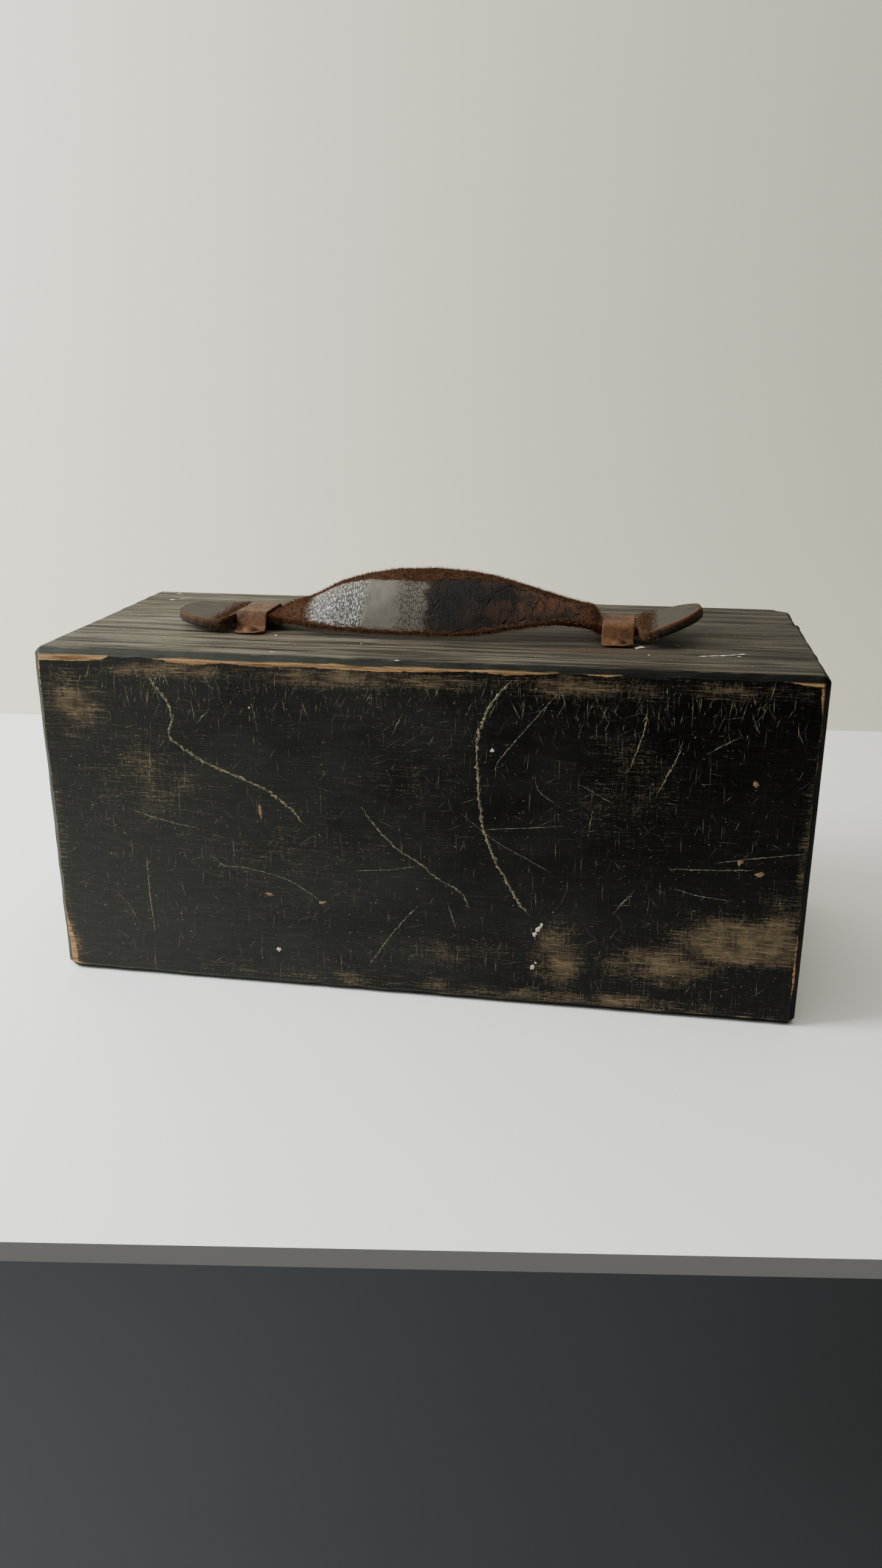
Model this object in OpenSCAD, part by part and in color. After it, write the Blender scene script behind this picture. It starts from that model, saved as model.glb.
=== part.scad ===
// Wooden microscope case, standing on its hinged side, with a leather carrying strap on top.
// +X runs along the case, the big plain board faces -Y, the lid is at the back and +Z is up.
// The origin is under the middle of the case, on the surface that it stands on.

/* [Case] */
// Length of the case
case_len = 305; // [295:1:320]
// Depth from the plain board to the lid board
case_depth = 131; // [129:1:140]
// Height from the hinged side to the strap side
case_h = 141.4; // [139:0.1:150]
// Depth of the lid
lid_depth = 36; // [34:0.5:38]
// Thickness of the two big boards
board_t = 8; // [7:0.5:9]
// Thickness of the rails and the end boards
wall_t = 9.5; // [9:0.5:10.5]
// Bevel along every outside edge
bevel = 2.8; // [1.5:0.1:3]
// How far the right end of the lid has shrunk back
lid_setback = 0.9; // [0:0.1:1.5]
// Gap between the lid and the case
seam_gap = 0.3; // [0.2:0.05:0.4]

/* [Lid hinges] */
// Distance between the two hinges
hinge_spacing = 190; // [150:1:220]
// Length of a hinge
hinge_len = 38; // [34:1:46]
// Height of the hinge line over the surface that the case stands on
hinge_z = 2.6; // [2.5:0.1:3]
// Radius of the hinge barrel
barrel_r = 2.2; // [2:0.1:2.3]
// Radius of the hinge pin
hinge_pin_r = 1; // [0.8:0.05:1.1]
// How far the lid opens, in degrees
lid_open = 95; // [90:1:100]

/* [Strap and clips] */
// Distance between the two clips
clip_spacing = 151; // [150:0.5:152]
// Width of a clip along the case
clip_w = 13; // [12:0.5:14]
// Thickness of the clip's sheet iron
clip_t = 1; // [0.8:0.1:1.2]
// Outside height of a clip
clip_h = 8; // [7.8:0.1:8.5]
// Inside width of a clip, across the strap
clip_bore = 19.8; // [19.5:0.1:20.5]
// Thickness of the leather
leather_t = 3.8; // [3:0.1:4]
// Half width of the strap's round ends
tongue_r = 19.5; // [16:0.5:20]
// How steeply the left end of the strap rises, in degrees
tongue_rise_left = 5; // [0:1:6]
// How steeply the right end of the strap rises, in degrees
tongue_rise_right = 20; // [15:1:24]

/* [Hooks] */
// Distance between the two hooks
hook_spacing = 60; // [50:1:70]
// Distance from a hook's screw to its stud
hook_reach = 25; // [24:0.5:27]
// Thickness of a hook
hook_t = 1.4; // [1:0.1:1.8]

/* [Inside] */
// Radius of a hole for a 23.2 mm eyepiece
eyepiece_r = 11.75; // [11.7:0.01:11.9]
// Depth of an eyepiece hole
eyepiece_depth = 26; // [20:1:30]
// Width of the notch that holds the microscope's tube
tube_notch = 34; // [28:1:40]
// Width of the notch that holds the microscope's foot
foot_notch = 62; // [50:1:70]
// Thickness of the cradle boards
cradle_t = 12; // [10:1:14]
// Thickness of the felt in the notches
felt_t = 1.6; // [1:0.1:2]

/* [Hidden] */

eps = 1;
front_y = -case_depth / 2;
back_y = case_depth / 2;
seam_y = back_y - lid_depth;
rim_y = seam_y - seam_gap / 2;
lid_rim_y = seam_y + seam_gap / 2;
left_x = -case_len / 2;
right_x = case_len / 2;
lid_right_x = right_x - lid_setback;
inner_front_y = front_y + board_t;
inner_back_y = back_y - board_t;
inner_top_z = case_h - wall_t;

wood = "#2a2a26";
bare_wood = "#9a7a52";
rust = "#875a3c";
leather = "#4a3a2c";
brass = "#b08d4a";
steel = "#6f6f6c";
felt = "#3f5a44";

// Outline of a rectangle with its four corners cut off by the bevel
function bevelled(a0, a1, b0, b1) = [
    [a0 + bevel, b0], [a1 - bevel, b0], [a1, b0 + bevel], [a1, b1 - bevel],
    [a1 - bevel, b1], [a0 + bevel, b1], [a0, b1 - bevel], [a0, b0 + bevel]
];

// Solid outside shape of the closed case, whose right end stands at x1
module outside(x1) {
    intersection() {
        translate([0, 0, -eps])
            linear_extrude(case_h + 2 * eps)
                polygon(bevelled(left_x, x1, front_y, back_y));
        rotate([90, 0, 0])
            translate([0, 0, front_y - eps])
                linear_extrude(case_depth + 2 * eps)
                    polygon(bevelled(left_x, x1, 0, case_h));
        rotate([90, 0, 90])
            translate([0, 0, left_x - eps])
                linear_extrude(case_len + 2 * eps)
                    polygon(bevelled(front_y, back_y, 0, case_h));
    }
}

module block(low, high) {
    translate(low) cube(high - low);
}

// Board that fills a box inside the outside shape
module board(low, high, x1 = right_x) {
    intersection() {
        outside(x1);
        block(low, high);
    }
}

// Panel pins: sunk under the surface and filled over, so nothing of them shows
pin_r = 0.8;
pin_head_r = 1.3;
pin_head_t = 0.8;
pin_len = 20;
pin_sink = 1.2;
pin_columns = [-120, -60, 0, 60, 120];
rail_pin_ys = [-45, -5];
lid_rail_pin_y = 43;

module panel_pin() {
    cylinder(r = pin_head_r, h = pin_head_t, $fn = 24);
    cylinder(r = pin_r, h = pin_len, $fn = 24);
}

// Pins through a big board into the rails and end boards, from the face at y
module board_pins(y, into) {
    for (z = [wall_t / 2, case_h - wall_t / 2], x = pin_columns)
        translate([x, y + into * pin_sink, z]) rotate([-90 * into, 0, 0]) panel_pin();
    for (x = [left_x + wall_t / 2, right_x - wall_t / 2])
        translate([x, y + into * pin_sink, case_h / 2]) rotate([-90 * into, 0, 0]) panel_pin();
}

// Pins through the rails into the end boards
module rail_pins(ys) {
    for (y = ys, x = [left_x + wall_t / 2, right_x - wall_t / 2]) {
        translate([x, y, case_h - pin_sink]) rotate([180, 0, 0]) panel_pin();
        translate([x, y, pin_sink]) panel_pin();
    }
}

module all_case_pins() {
    board_pins(front_y, 1);
    rail_pins(rail_pin_ys);
}

module all_lid_pins() {
    board_pins(back_y, -1);
    rail_pins([lid_rail_pin_y]);
}

// Groove along the hinge line that lets the lid turn: both rims are bevelled back from it
groove_half = hinge_z * tan(lid_open / 2 + 1.5);
barrel_room = 0.3;

module hinge_groove() {
    rotate([90, 0, 90])
        translate([seam_y, 0, left_x - eps])
            linear_extrude(case_len + 2 * eps)
                polygon([
                    [0, hinge_z], [-groove_half * (hinge_z + eps) / hinge_z, -eps],
                    [groove_half * (hinge_z + eps) / hinge_z, -eps]
                ]);
    for (x = [-1, 1] * hinge_spacing / 2)
        translate([x - hinge_len / 2 - barrel_room, seam_y, hinge_z])
            rotate([0, 90, 0])
                cylinder(r = barrel_r + barrel_room, h = hinge_len + 2 * barrel_room, $fn = 48);
}

// Hinges: the case's leaf holds the two outer knuckles and the pin, the lid's leaf the middle one
leaf_t = 1;
leaf_low_z = hinge_z + barrel_r + barrel_room + 0.1;
knuckle_gap = 0.3;
middle_half = hinge_len / 6;
pin_play = 0.05;
screw_z = wall_t - 2.3;
screw_head_r = 1.9;
screw_r = 1.1;
screw_len = 12;
screw_offsets = [-12, 0, 12];

// A slotted countersunk wood screw along +Z, its head level with the origin
module wood_screw(slot = true) {
    difference() {
        union() {
            cylinder(r1 = screw_head_r, r2 = screw_r, h = screw_head_r - screw_r, $fn = 32);
            cylinder(r = screw_r, h = screw_len, $fn = 32);
        }
        if (slot)
            translate([-screw_head_r, -0.25, -eps]) cube([2 * screw_head_r, 0.5, 0.4 + eps]);
    }
}

module leaf_screws(slot = true) {
    for (x = [-1, 1] * hinge_spacing / 2, dx = screw_offsets)
        translate([x + dx, rim_y, screw_z]) rotate([90, 0, 0]) wood_screw(slot);
}

module lid_leaf_screws(slot = true) {
    for (x = [-1, 1] * hinge_spacing / 2, dx = screw_offsets)
        translate([x + dx, lid_rim_y, screw_z]) rotate([-90, 0, 0]) wood_screw(slot);
}

// The plate of a leaf, from the rim at y towards the wood at y + side * leaf_t
module leaf_plate(x, y, side, ranges) {
    y0 = min(y, y + side * leaf_t);
    translate([x - hinge_len / 2, y0, leaf_low_z]) cube([hinge_len, leaf_t, wall_t - leaf_low_z]);
    for (r = ranges) {
        translate([x + r[0], y0, hinge_z]) cube([r[1] - r[0], leaf_t, leaf_low_z - hinge_z]);
        translate([x + r[0], seam_y, hinge_z])
            rotate([0, 90, 0]) cylinder(r = barrel_r, h = r[1] - r[0], $fn = 48);
    }
}

outer_knuckles = [
    [-hinge_len / 2, -middle_half - knuckle_gap],
    [middle_half + knuckle_gap, hinge_len / 2]
];
middle_knuckle = [[-middle_half, middle_half]];

module pin_bore(x, r) {
    translate([x - hinge_len / 2 - eps, seam_y, hinge_z])
        rotate([0, 90, 0]) cylinder(r = r, h = hinge_len + 2 * eps, $fn = 48);
}

module case_leaf(x) {
    difference() {
        leaf_plate(x, rim_y, -1, outer_knuckles);
        pin_bore(x, hinge_pin_r);
        leaf_screws(false);
    }
}

module lid_leaf(x) {
    difference() {
        leaf_plate(x, lid_rim_y, 1, middle_knuckle);
        pin_bore(x, hinge_pin_r + pin_play);
        lid_leaf_screws(false);
    }
}

// Shallow beds for the hinge leaves in the two rims
module leaf_beds() {
    for (x = [-1, 1] * hinge_spacing / 2)
        translate([x - hinge_len / 2, rim_y - leaf_t, hinge_z])
            cube([hinge_len, 2 * leaf_t + seam_gap, wall_t]);
}

// Clips: sheet iron bent over the strap, with a foot and a rivet on each side
clip_y = -10.5;
foot_len = 8.2;
foot_corner_r = 3.5;
clip_corner_r = 2.2;
clip_outer = clip_bore + 2 * clip_t;
rivet_head_r = 3.3;
rivet_head_h = 1.6;
rivet_r = 1.4;
rivet_len = 7.5;
rivet_offset = clip_outer / 2 + foot_len / 2 + 0.1;

// Rectangle with round corners, centred on the origin
module round_rectangle(w, l, r) {
    square([w - 2 * r, l], center = true);
    square([w, l - 2 * r], center = true);
    for (x = [-1, 1] * (w / 2 - r), y = [-1, 1] * (l / 2 - r))
        translate([x, y]) circle(r = r, $fn = 48);
}

// Arch with round upper corners, w wide and h high
module arch_outline(w, h, r) {
    translate([-w / 2, 0]) square([w, h - r]);
    translate([-w / 2 + r, 0]) square([w - 2 * r, h]);
    for (s = [-1, 1]) translate([s * (w / 2 - r), h - r]) circle(r = r, $fn = 48);
}

// The bent strip, before its feet are rounded
module bent_strip(x) {
    translate([x - clip_w / 2, clip_y, case_h])
        rotate([90, 0, 90])
            linear_extrude(clip_w)
                difference() {
                    union() {
                        arch_outline(clip_outer, clip_h, clip_corner_r);
                        translate([-clip_outer / 2 - foot_len, 0])
                            square([clip_outer + 2 * foot_len, clip_t]);
                    }
                    translate([0, -eps])
                        arch_outline(clip_bore, clip_h - clip_t + eps, clip_corner_r - clip_t);
                }
}

module clip(x) {
    difference() {
        intersection() {
            bent_strip(x);
            translate([x, clip_y, case_h - eps])
                linear_extrude(clip_h + 2 * eps)
                    round_rectangle(clip_w, clip_outer + 2 * foot_len, foot_corner_r);
        }
        for (s = [-1, 1])
            translate([x, clip_y + s * rivet_offset, case_h - eps])
                cylinder(r = rivet_r, h = clip_t + 2 * eps, $fn = 32);
    }
}

// A dome of radius r and height h, standing on the origin
module dome(r, h) {
    ball_r = (r * r + h * h) / (2 * h);
    intersection() {
        translate([0, 0, h - ball_r]) sphere(r = ball_r, $fn = 64);
        cylinder(r = r, h = h, $fn = 48);
    }
}

module rivet_shanks() {
    for (x = [-1, 1] * clip_spacing / 2, s = [-1, 1])
        translate([x, clip_y + s * rivet_offset, case_h + clip_t - rivet_len])
            cylinder(r = rivet_r, h = rivet_len, $fn = 32);
}

// Hooks: each turns on a screw in the case and catches a stud in the lid
hook_pivot_y = seam_y - hook_reach / 2;
hook_w = 6;
hook_eye_r = 4.2;
hook_lift = 0.2;
hook_play = 0.05;
stud_r = 1.6;
stud_len = 10;
stud_head_r = 3.2;
stud_head_h = 1.7;
notch_play = 0.4;
notch_arm = 5.5;
notch_lip_r = 2.2;
notch_cut = 8;
slot_w = 0.8;
slot_depth = 0.6;

module hook_screws_at(y) {
    for (x = [-1, 1] * hook_spacing / 2)
        translate([x, y, case_h]) {
            translate([0, 0, -stud_len])
                cylinder(r = stud_r, h = stud_len + 2 * hook_lift + hook_t, $fn = 32);
            difference() {
                translate([0, 0, 2 * hook_lift + hook_t]) dome(stud_head_r, stud_head_h);
                translate([-stud_head_r, -slot_w / 2, 2 * hook_lift + hook_t + stud_head_h - slot_depth])
                    cube([2 * stud_head_r, slot_w, eps]);
            }
        }
}

module hook_screw_holes(y) {
    for (x = [-1, 1] * hook_spacing / 2)
        translate([x, y, case_h - stud_len]) cylinder(r = stud_r, h = stud_len + eps, $fn = 32);
}

// A hook that opens towards side: its notch faces the other way, so the stud leaves sideways
module hook(x, side) {
    translate([x, hook_pivot_y, case_h + hook_lift])
        difference() {
            linear_extrude(hook_t)
                union() {
                    circle(r = hook_eye_r, $fn = 48);
                    translate([-hook_w / 2, 0]) square([hook_w, hook_reach]);
                    translate([0, hook_reach]) circle(r = hook_eye_r, $fn = 48);
                    translate([side * notch_arm, hook_reach]) circle(r = notch_lip_r, $fn = 48);
                    translate([min(0, side * notch_arm), hook_reach - notch_lip_r])
                        square([notch_arm, 2 * notch_lip_r]);
                }
            translate([0, 0, -eps]) {
                cylinder(r = stud_r + hook_play, h = hook_t + 2 * eps, $fn = 32);
                translate([0, hook_reach, 0])
                    cylinder(r = stud_r + notch_play, h = hook_t + 2 * eps, $fn = 32);
                translate([side > 0 ? -notch_cut : 0, hook_reach - stud_r - notch_play, 0])
                    cube([notch_cut, 2 * (stud_r + notch_play), hook_t + 2 * eps]);
            }
        }
}

// Strap rows: x, then y and height over the case of the leather's outer side
// at its back edge, at the point that its curl leans towards, and at its front edge
strap_rows = [
    [-84, -1, 6.6, -10.5, 6.6, -20, 6.6],
    [-68, -1, 6.6, -10.5, 6.6, -20, 6.6],
    [-61, -1.5, 9, -10.5, 12, -21, 5.8],
    [-50, -1.5, 11.5, -14, 19, -25, 4.2],
    [-40, -2, 15, -17, 27.5, -27.5, 3.4],
    [-29, -2.5, 17.5, -19, 33.5, -29, 2.8],
    [-15, -3, 19.5, -21, 37.5, -29.8, 2.5],
    [0, -3, 20, -21, 38.5, -30, 2.5],
    [12, -3, 19.5, -21, 38, -30, 2.8],
    [22, -3, 18.5, -20.5, 35.5, -29.5, 3.6],
    [34, -2.5, 16, -19, 30.5, -28, 5.8],
    [47, -2, 13, -17, 24, -26, 8],
    [59, -1.5, 11, -13.5, 18, -23, 8],
    [65, -1.2, 10, -12, 15.5, -22, 7.2],
    [68, -1, 6.6, -10.5, 6.6, -20, 6.6],
    [84, -1, 6.6, -10.5, 6.6, -20, 6.6]
];
grip_end = 50;
neck_end = clip_spacing / 2 - clip_w / 2 - 1;
tongue_start = clip_spacing / 2 + clip_w / 2 + 1.5;
ring_step = 4;
ring_parts = 8;

function row_index(x, i = 0) =
    i >= len(strap_rows) - 2 || x < strap_rows[i + 1][0] ? i : row_index(x, i + 1);

// Smooth curve through the rows: a b c d are four neighbours and t runs from b to c
function smooth(a, b, c, d, t) =
    0.5 * (2 * b + (c - a) * t + (2 * a - 5 * b + 4 * c - d) * t * t
        + (3 * b - a - 3 * c + d) * t * t * t);

function strap_row(x) =
    let (i = row_index(x), last = len(strap_rows) - 1)
    let (b = strap_rows[i], c = strap_rows[i + 1])
    smooth(strap_rows[max(i - 1, 0)], b, c, strap_rows[min(i + 2, last)], (x - b[0]) / (c[0] - b[0]));

function curl(p, t) =
    (1 - t) * (1 - t) * [p[1], p[2]] + 2 * t * (1 - t) * [p[3], p[4]] + t * t * [p[5], p[6]];

function curl_normal(p, t) =
    let (d = (1 - t) * [p[3] - p[1], p[4] - p[2]] + t * [p[5] - p[3], p[6] - p[4]])
    [d[1], -d[0]] / norm(d);

// Ring of the strap at x: along its outer side, then back along its inner side
function strap_ring(x) =
    let (p = strap_row(x))
    concat(
        [for (k = [0:ring_parts]) let (q = curl(p, k / ring_parts)) [x, q[0], case_h + q[1]]],
        [for (k = [ring_parts:-1:0])
            let (t = k / ring_parts)
            let (q = curl(p, t) - leather_t * curl_normal(p, t))
            [x, q[0], case_h + q[1]]]
    );

// Length of leather between x0 and x1, made of rings
module strap_length(x0, x1) {
    steps = ceil((x1 - x0) / ring_step);
    count = 2 * (ring_parts + 1);
    rings = [for (k = [0:steps]) each strap_ring(x0 + (x1 - x0) * k / steps)];
    walls = [
        for (k = [0:steps - 1], j = [0:count - 1])
            let (a = k * count + j, b = k * count + (j + 1) % count)
            each [[a, b, b + count], [a, b + count, a + count]]
    ];
    caps = [
        for (k = [0:ring_parts - 1], s = [0, 1])
            let (o = s * steps * count, a = o + k, b = o + k + 1)
            let (c = o + count - 2 - k, d = o + count - 1 - k)
            each s == 0 ? [[a, c, b], [a, d, c]] : [[a, b, c], [a, c, d]]
    ];
    polyhedron(points = rings, faces = concat(walls, caps), convexity = 4);
}

// Round end of the strap outside its clip, which stops the strap from pulling through
tongue_shoulder = 7;
tongue_z = 1.4;

module strap_tongue(side, rise) {
    translate([side * tongue_start, clip_y, case_h + tongue_z])
        rotate([0, -side * rise, 0])
            linear_extrude(leather_t)
                union() {
                    translate([min(0, side * tongue_shoulder), -tongue_r])
                        square([tongue_shoulder, 2 * tongue_r]);
                    intersection() {
                        translate([side * tongue_shoulder, 0]) circle(r = tongue_r, $fn = 64);
                        translate([min(0, side * 2 * tongue_r), -tongue_r]) square(2 * tongue_r);
                    }
                }
}

// Straight stretch of the strap inside its clip
module strap_in_clip(side) {
    x0 = side * neck_end;
    x1 = side * (tongue_start + 1);
    flat = strap_rows[0];
    block([min(x0, x1), flat[5], case_h + flat[6] - leather_t],
        [max(x0, x1), flat[1], case_h + flat[2]]);
}

// Inside fittings
foot_x = -88;
tube_x = 62;
cradle_y = 8;
notch_floor_y = -26;
mid_z = case_h / 2;
accessory_low = [104, -22];
accessory_half_z = 34;
eyepiece_pitch = 32;
eyepiece_x = (accessory_low[0] + right_x - wall_t) / 2;
button_z = mid_z + tube_notch / 2 + 8;
button_t = 4;
button_r = 6;
button_reach = tube_notch / 2 + 10;
button_lift = 0.3;
pad_x = [-110, 80];
pad_t = 8;
pad_half_z = 28;

// U-shaped notch, w wide, that opens towards the lid; its floor stands at y
module notch_outline(w, y) {
    r = min(w / 2, 16);
    translate([y + r, mid_z - w / 2]) square([cradle_y - y, w]);
    translate([y, mid_z - w / 2 + r]) square([cradle_y - y, w - 2 * r]);
    for (s = [-1, 1]) translate([y + r, mid_z + s * (w / 2 - r)]) circle(r = r, $fn = 64);
}

module across(x, t) {
    translate([x - t / 2, 0, 0]) rotate([90, 0, 90]) linear_extrude(t) children();
}

module cradle(x, w) {
    across(x, cradle_t)
        difference() {
            translate([inner_front_y, wall_t])
                square([cradle_y - inner_front_y, inner_top_z - wall_t]);
            notch_outline(w, notch_floor_y);
        }
}

module notch_felt(x, w) {
    across(x, cradle_t)
        intersection() {
            difference() {
                notch_outline(w, notch_floor_y);
                translate([felt_t, 0]) notch_outline(w - 2 * felt_t, notch_floor_y);
            }
            translate([notch_floor_y, 0]) square([cradle_y - notch_floor_y, case_h]);
        }
}

module front_board() {
    color(wood) difference() {
        board([left_x, front_y, 0], [right_x, inner_front_y, case_h]);
        all_case_pins();
    }
}

module top_rail() {
    color(wood) difference() {
        board([left_x, inner_front_y, inner_top_z], [right_x, rim_y, case_h]);
        all_case_pins();
        rivet_shanks();
        hook_screw_holes(hook_pivot_y);
    }
}

module bottom_rail() {
    color(wood) difference() {
        board([left_x, inner_front_y, 0], [right_x, rim_y, wall_t]);
        all_case_pins();
        hinge_groove();
        leaf_beds();
        leaf_screws(false);
    }
}

module left_end() {
    color(wood) difference() {
        board([left_x, inner_front_y, wall_t], [left_x + wall_t, rim_y, inner_top_z]);
        all_case_pins();
    }
}

module right_end() {
    color(wood) difference() {
        board([right_x - wall_t, inner_front_y, wall_t], [right_x, rim_y, inner_top_z]);
        all_case_pins();
    }
}

module case_pins() { color(steel) all_case_pins(); }

module foot_cradle() { color(bare_wood) cradle(foot_x, foot_notch); }

module foot_felt() { color(felt) notch_felt(foot_x, foot_notch); }

module tube_cradle() {
    color(bare_wood) difference() {
        cradle(tube_x, tube_notch);
        button_screw_shank();
    }
}

module tube_felt() { color(felt) notch_felt(tube_x, tube_notch); }

module accessory_block() {
    color(bare_wood) difference() {
        block([accessory_low[0], inner_front_y, mid_z - accessory_half_z],
            [right_x - wall_t, accessory_low[1], mid_z + accessory_half_z]);
        for (s = [-1, 1])
            translate([eyepiece_x, accessory_low[1], mid_z + s * eyepiece_pitch / 2])
                rotate([90, 0, 0]) {
                    cylinder(r = eyepiece_r, h = eyepiece_depth, $fn = 64);
                    translate([0, 0, -eps]) cylinder(r = eyepiece_r, h = 2 * eps, $fn = 64);
                }
    }
}

module clip_left() { color(rust) clip(-clip_spacing / 2); }

module clip_right() { color(rust) clip(clip_spacing / 2); }

module clip_rivets() {
    color(rust) {
        rivet_shanks();
        for (x = [-1, 1] * clip_spacing / 2, s = [-1, 1])
            translate([x, clip_y + s * rivet_offset, case_h + clip_t])
                dome(rivet_head_r, rivet_head_h);
    }
}

module hook_pivots() { color(brass) hook_screws_at(hook_pivot_y); }

module hinge_leaf_left() { color(brass) case_leaf(-hinge_spacing / 2); }

module hinge_leaf_right() { color(brass) case_leaf(hinge_spacing / 2); }

module hinge_pins() {
    color(steel)
        for (x = [-1, 1] * hinge_spacing / 2)
            translate([x - hinge_len / 2, seam_y, hinge_z])
                rotate([0, 90, 0]) cylinder(r = hinge_pin_r, h = hinge_len, $fn = 48);
}

module hinge_screws() { color(brass) leaf_screws(); }

module strap_end_left() {
    color(leather) {
        strap_in_clip(-1);
        strap_tongue(-1, tongue_rise_left);
    }
}

module strap_end_right() {
    color(leather) {
        strap_in_clip(1);
        strap_tongue(1, tongue_rise_right);
    }
}

module button_screw_shank() {
    translate([tube_x, cradle_y - stud_len, button_z])
        rotate([-90, 0, 0]) cylinder(r = stud_r, h = stud_len + button_t + 2 * button_lift, $fn = 32);
}

module button_screw() {
    color(brass) {
        button_screw_shank();
        translate([tube_x, cradle_y + button_t + 2 * button_lift, button_z])
            rotate([-90, 0, 0])
                difference() {
                    dome(stud_head_r, stud_head_h);
                    translate([-stud_head_r, -slot_w / 2, stud_head_h - slot_depth])
                        cube([2 * stud_head_r, slot_w, eps]);
                }
    }
}

module strap_grip() { color(leather) strap_length(-grip_end, grip_end); }

module strap_neck_left() { color(leather) strap_length(-neck_end, -grip_end); }

module strap_neck_right() { color(leather) strap_length(grip_end, neck_end); }

module turn_button() {
    color(bare_wood)
        translate([tube_x, cradle_y + button_lift, button_z])
            rotate([-90, 0, 0])
                difference() {
                    linear_extrude(button_t)
                        union() {
                            circle(r = button_r, $fn = 48);
                            translate([-button_r, 0]) square([2 * button_r, button_reach]);
                            translate([0, button_reach]) circle(r = button_r, $fn = 48);
                        }
                    translate([0, 0, -eps])
                        cylinder(r = stud_r + hook_play, h = button_t + 2 * eps, $fn = 32);
                }
}

module hook_left() { color(brass) hook(-hook_spacing / 2, -1); }

module hook_right() { color(brass) hook(hook_spacing / 2, 1); }

module lid_board() {
    color(wood) difference() {
        board([left_x, inner_back_y, 0], [right_x, back_y, case_h], lid_right_x);
        all_lid_pins();
    }
}

module lid_top_rail() {
    color(wood) difference() {
        board([left_x, lid_rim_y, inner_top_z], [right_x, inner_back_y, case_h], lid_right_x);
        all_lid_pins();
        hook_screw_holes(hook_pivot_y + hook_reach);
    }
}

module lid_bottom_rail() {
    color(wood) difference() {
        board([left_x, lid_rim_y, 0], [right_x, inner_back_y, wall_t], lid_right_x);
        all_lid_pins();
        hinge_groove();
        leaf_beds();
        lid_leaf_screws(false);
    }
}

module lid_left_end() {
    color(wood) difference() {
        board([left_x, lid_rim_y, wall_t], [left_x + wall_t, inner_back_y, inner_top_z]);
        all_lid_pins();
    }
}

module lid_right_end() {
    color(wood) difference() {
        board([right_x - wall_t, lid_rim_y, wall_t], [right_x, inner_back_y, inner_top_z],
            lid_right_x);
        all_lid_pins();
    }
}

module lid_pins() { color(steel) all_lid_pins(); }

module lid_felt() {
    color(felt)
        block([pad_x[0], inner_back_y - pad_t, mid_z - pad_half_z],
            [pad_x[1], inner_back_y, mid_z + pad_half_z]);
}

module lid_leaf_left() { color(brass) lid_leaf(-hinge_spacing / 2); }

module lid_leaf_right() { color(brass) lid_leaf(hinge_spacing / 2); }

module lid_screws() { color(brass) lid_leaf_screws(); }

module hook_studs() { color(brass) hook_screws_at(hook_pivot_y + hook_reach); }

front_board();
top_rail();
bottom_rail();
left_end();
right_end();
case_pins();
foot_cradle();
foot_felt();
tube_cradle();
tube_felt();
accessory_block();
clip_left();
clip_right();
clip_rivets();
hook_pivots();
hinge_leaf_left();
hinge_leaf_right();
hinge_pins();
hinge_screws();
strap_end_left();
strap_end_right();
button_screw();
strap_grip();
strap_neck_left();
strap_neck_right();
turn_button();
hook_left();
hook_right();
lid_board();
lid_top_rail();
lid_bottom_rail();
lid_left_end();
lid_right_end();
lid_pins();
lid_felt();
lid_leaf_left();
lid_leaf_right();
lid_screws();
hook_studs();
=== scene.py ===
# Looks of a worn wooden microscope case with a leather strap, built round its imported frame.
# Shapes are worked out in millimetres and turned into metres when a mesh is made.

import math

import bmesh
import bpy
import numpy as np
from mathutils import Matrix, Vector


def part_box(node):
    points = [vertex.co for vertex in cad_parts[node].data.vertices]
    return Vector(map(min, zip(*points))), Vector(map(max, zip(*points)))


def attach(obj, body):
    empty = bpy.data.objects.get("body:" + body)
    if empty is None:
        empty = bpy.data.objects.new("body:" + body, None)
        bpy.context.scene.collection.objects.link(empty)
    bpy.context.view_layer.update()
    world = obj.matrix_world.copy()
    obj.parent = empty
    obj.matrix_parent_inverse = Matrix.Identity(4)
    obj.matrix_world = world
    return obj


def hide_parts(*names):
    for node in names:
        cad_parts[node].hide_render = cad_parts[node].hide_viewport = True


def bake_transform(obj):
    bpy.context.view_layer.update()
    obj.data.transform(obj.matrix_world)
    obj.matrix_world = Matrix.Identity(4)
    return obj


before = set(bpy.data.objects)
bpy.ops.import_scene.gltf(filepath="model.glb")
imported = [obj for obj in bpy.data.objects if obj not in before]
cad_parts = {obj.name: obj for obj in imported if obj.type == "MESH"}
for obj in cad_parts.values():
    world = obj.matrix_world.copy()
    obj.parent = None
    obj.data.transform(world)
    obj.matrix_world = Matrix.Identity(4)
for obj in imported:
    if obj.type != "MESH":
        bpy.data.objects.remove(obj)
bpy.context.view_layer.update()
mm = 0.001
print("frame loaded:", len(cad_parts), "nodes")


def cornerMm(corner):
    return np.array([round(v / mm, 3) for v in corner])


def nodeBox(node):
    low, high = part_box(node)
    return cornerMm(low), cornerMm(high)


boardLow, boardHigh = nodeBox("front_board")
lidHigh = nodeBox("lid_board")[1]
caseLow = boardLow.copy()
caseHigh = np.array([boardHigh[0], lidHigh[1], boardHigh[2]])
topZ = caseHigh[2]
clipY = sum(nodeBox("clip_left")[i][1] for i in (0, 1)) / 2


# Camera and light

cameraSettings = {
    "place": (81.1, -488.4, 242.8),
    "yaw": -9.35,
    "pitch": -19.21,
    "focalPixels": 1935,
    "photoHeight": 2576,
}


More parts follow.
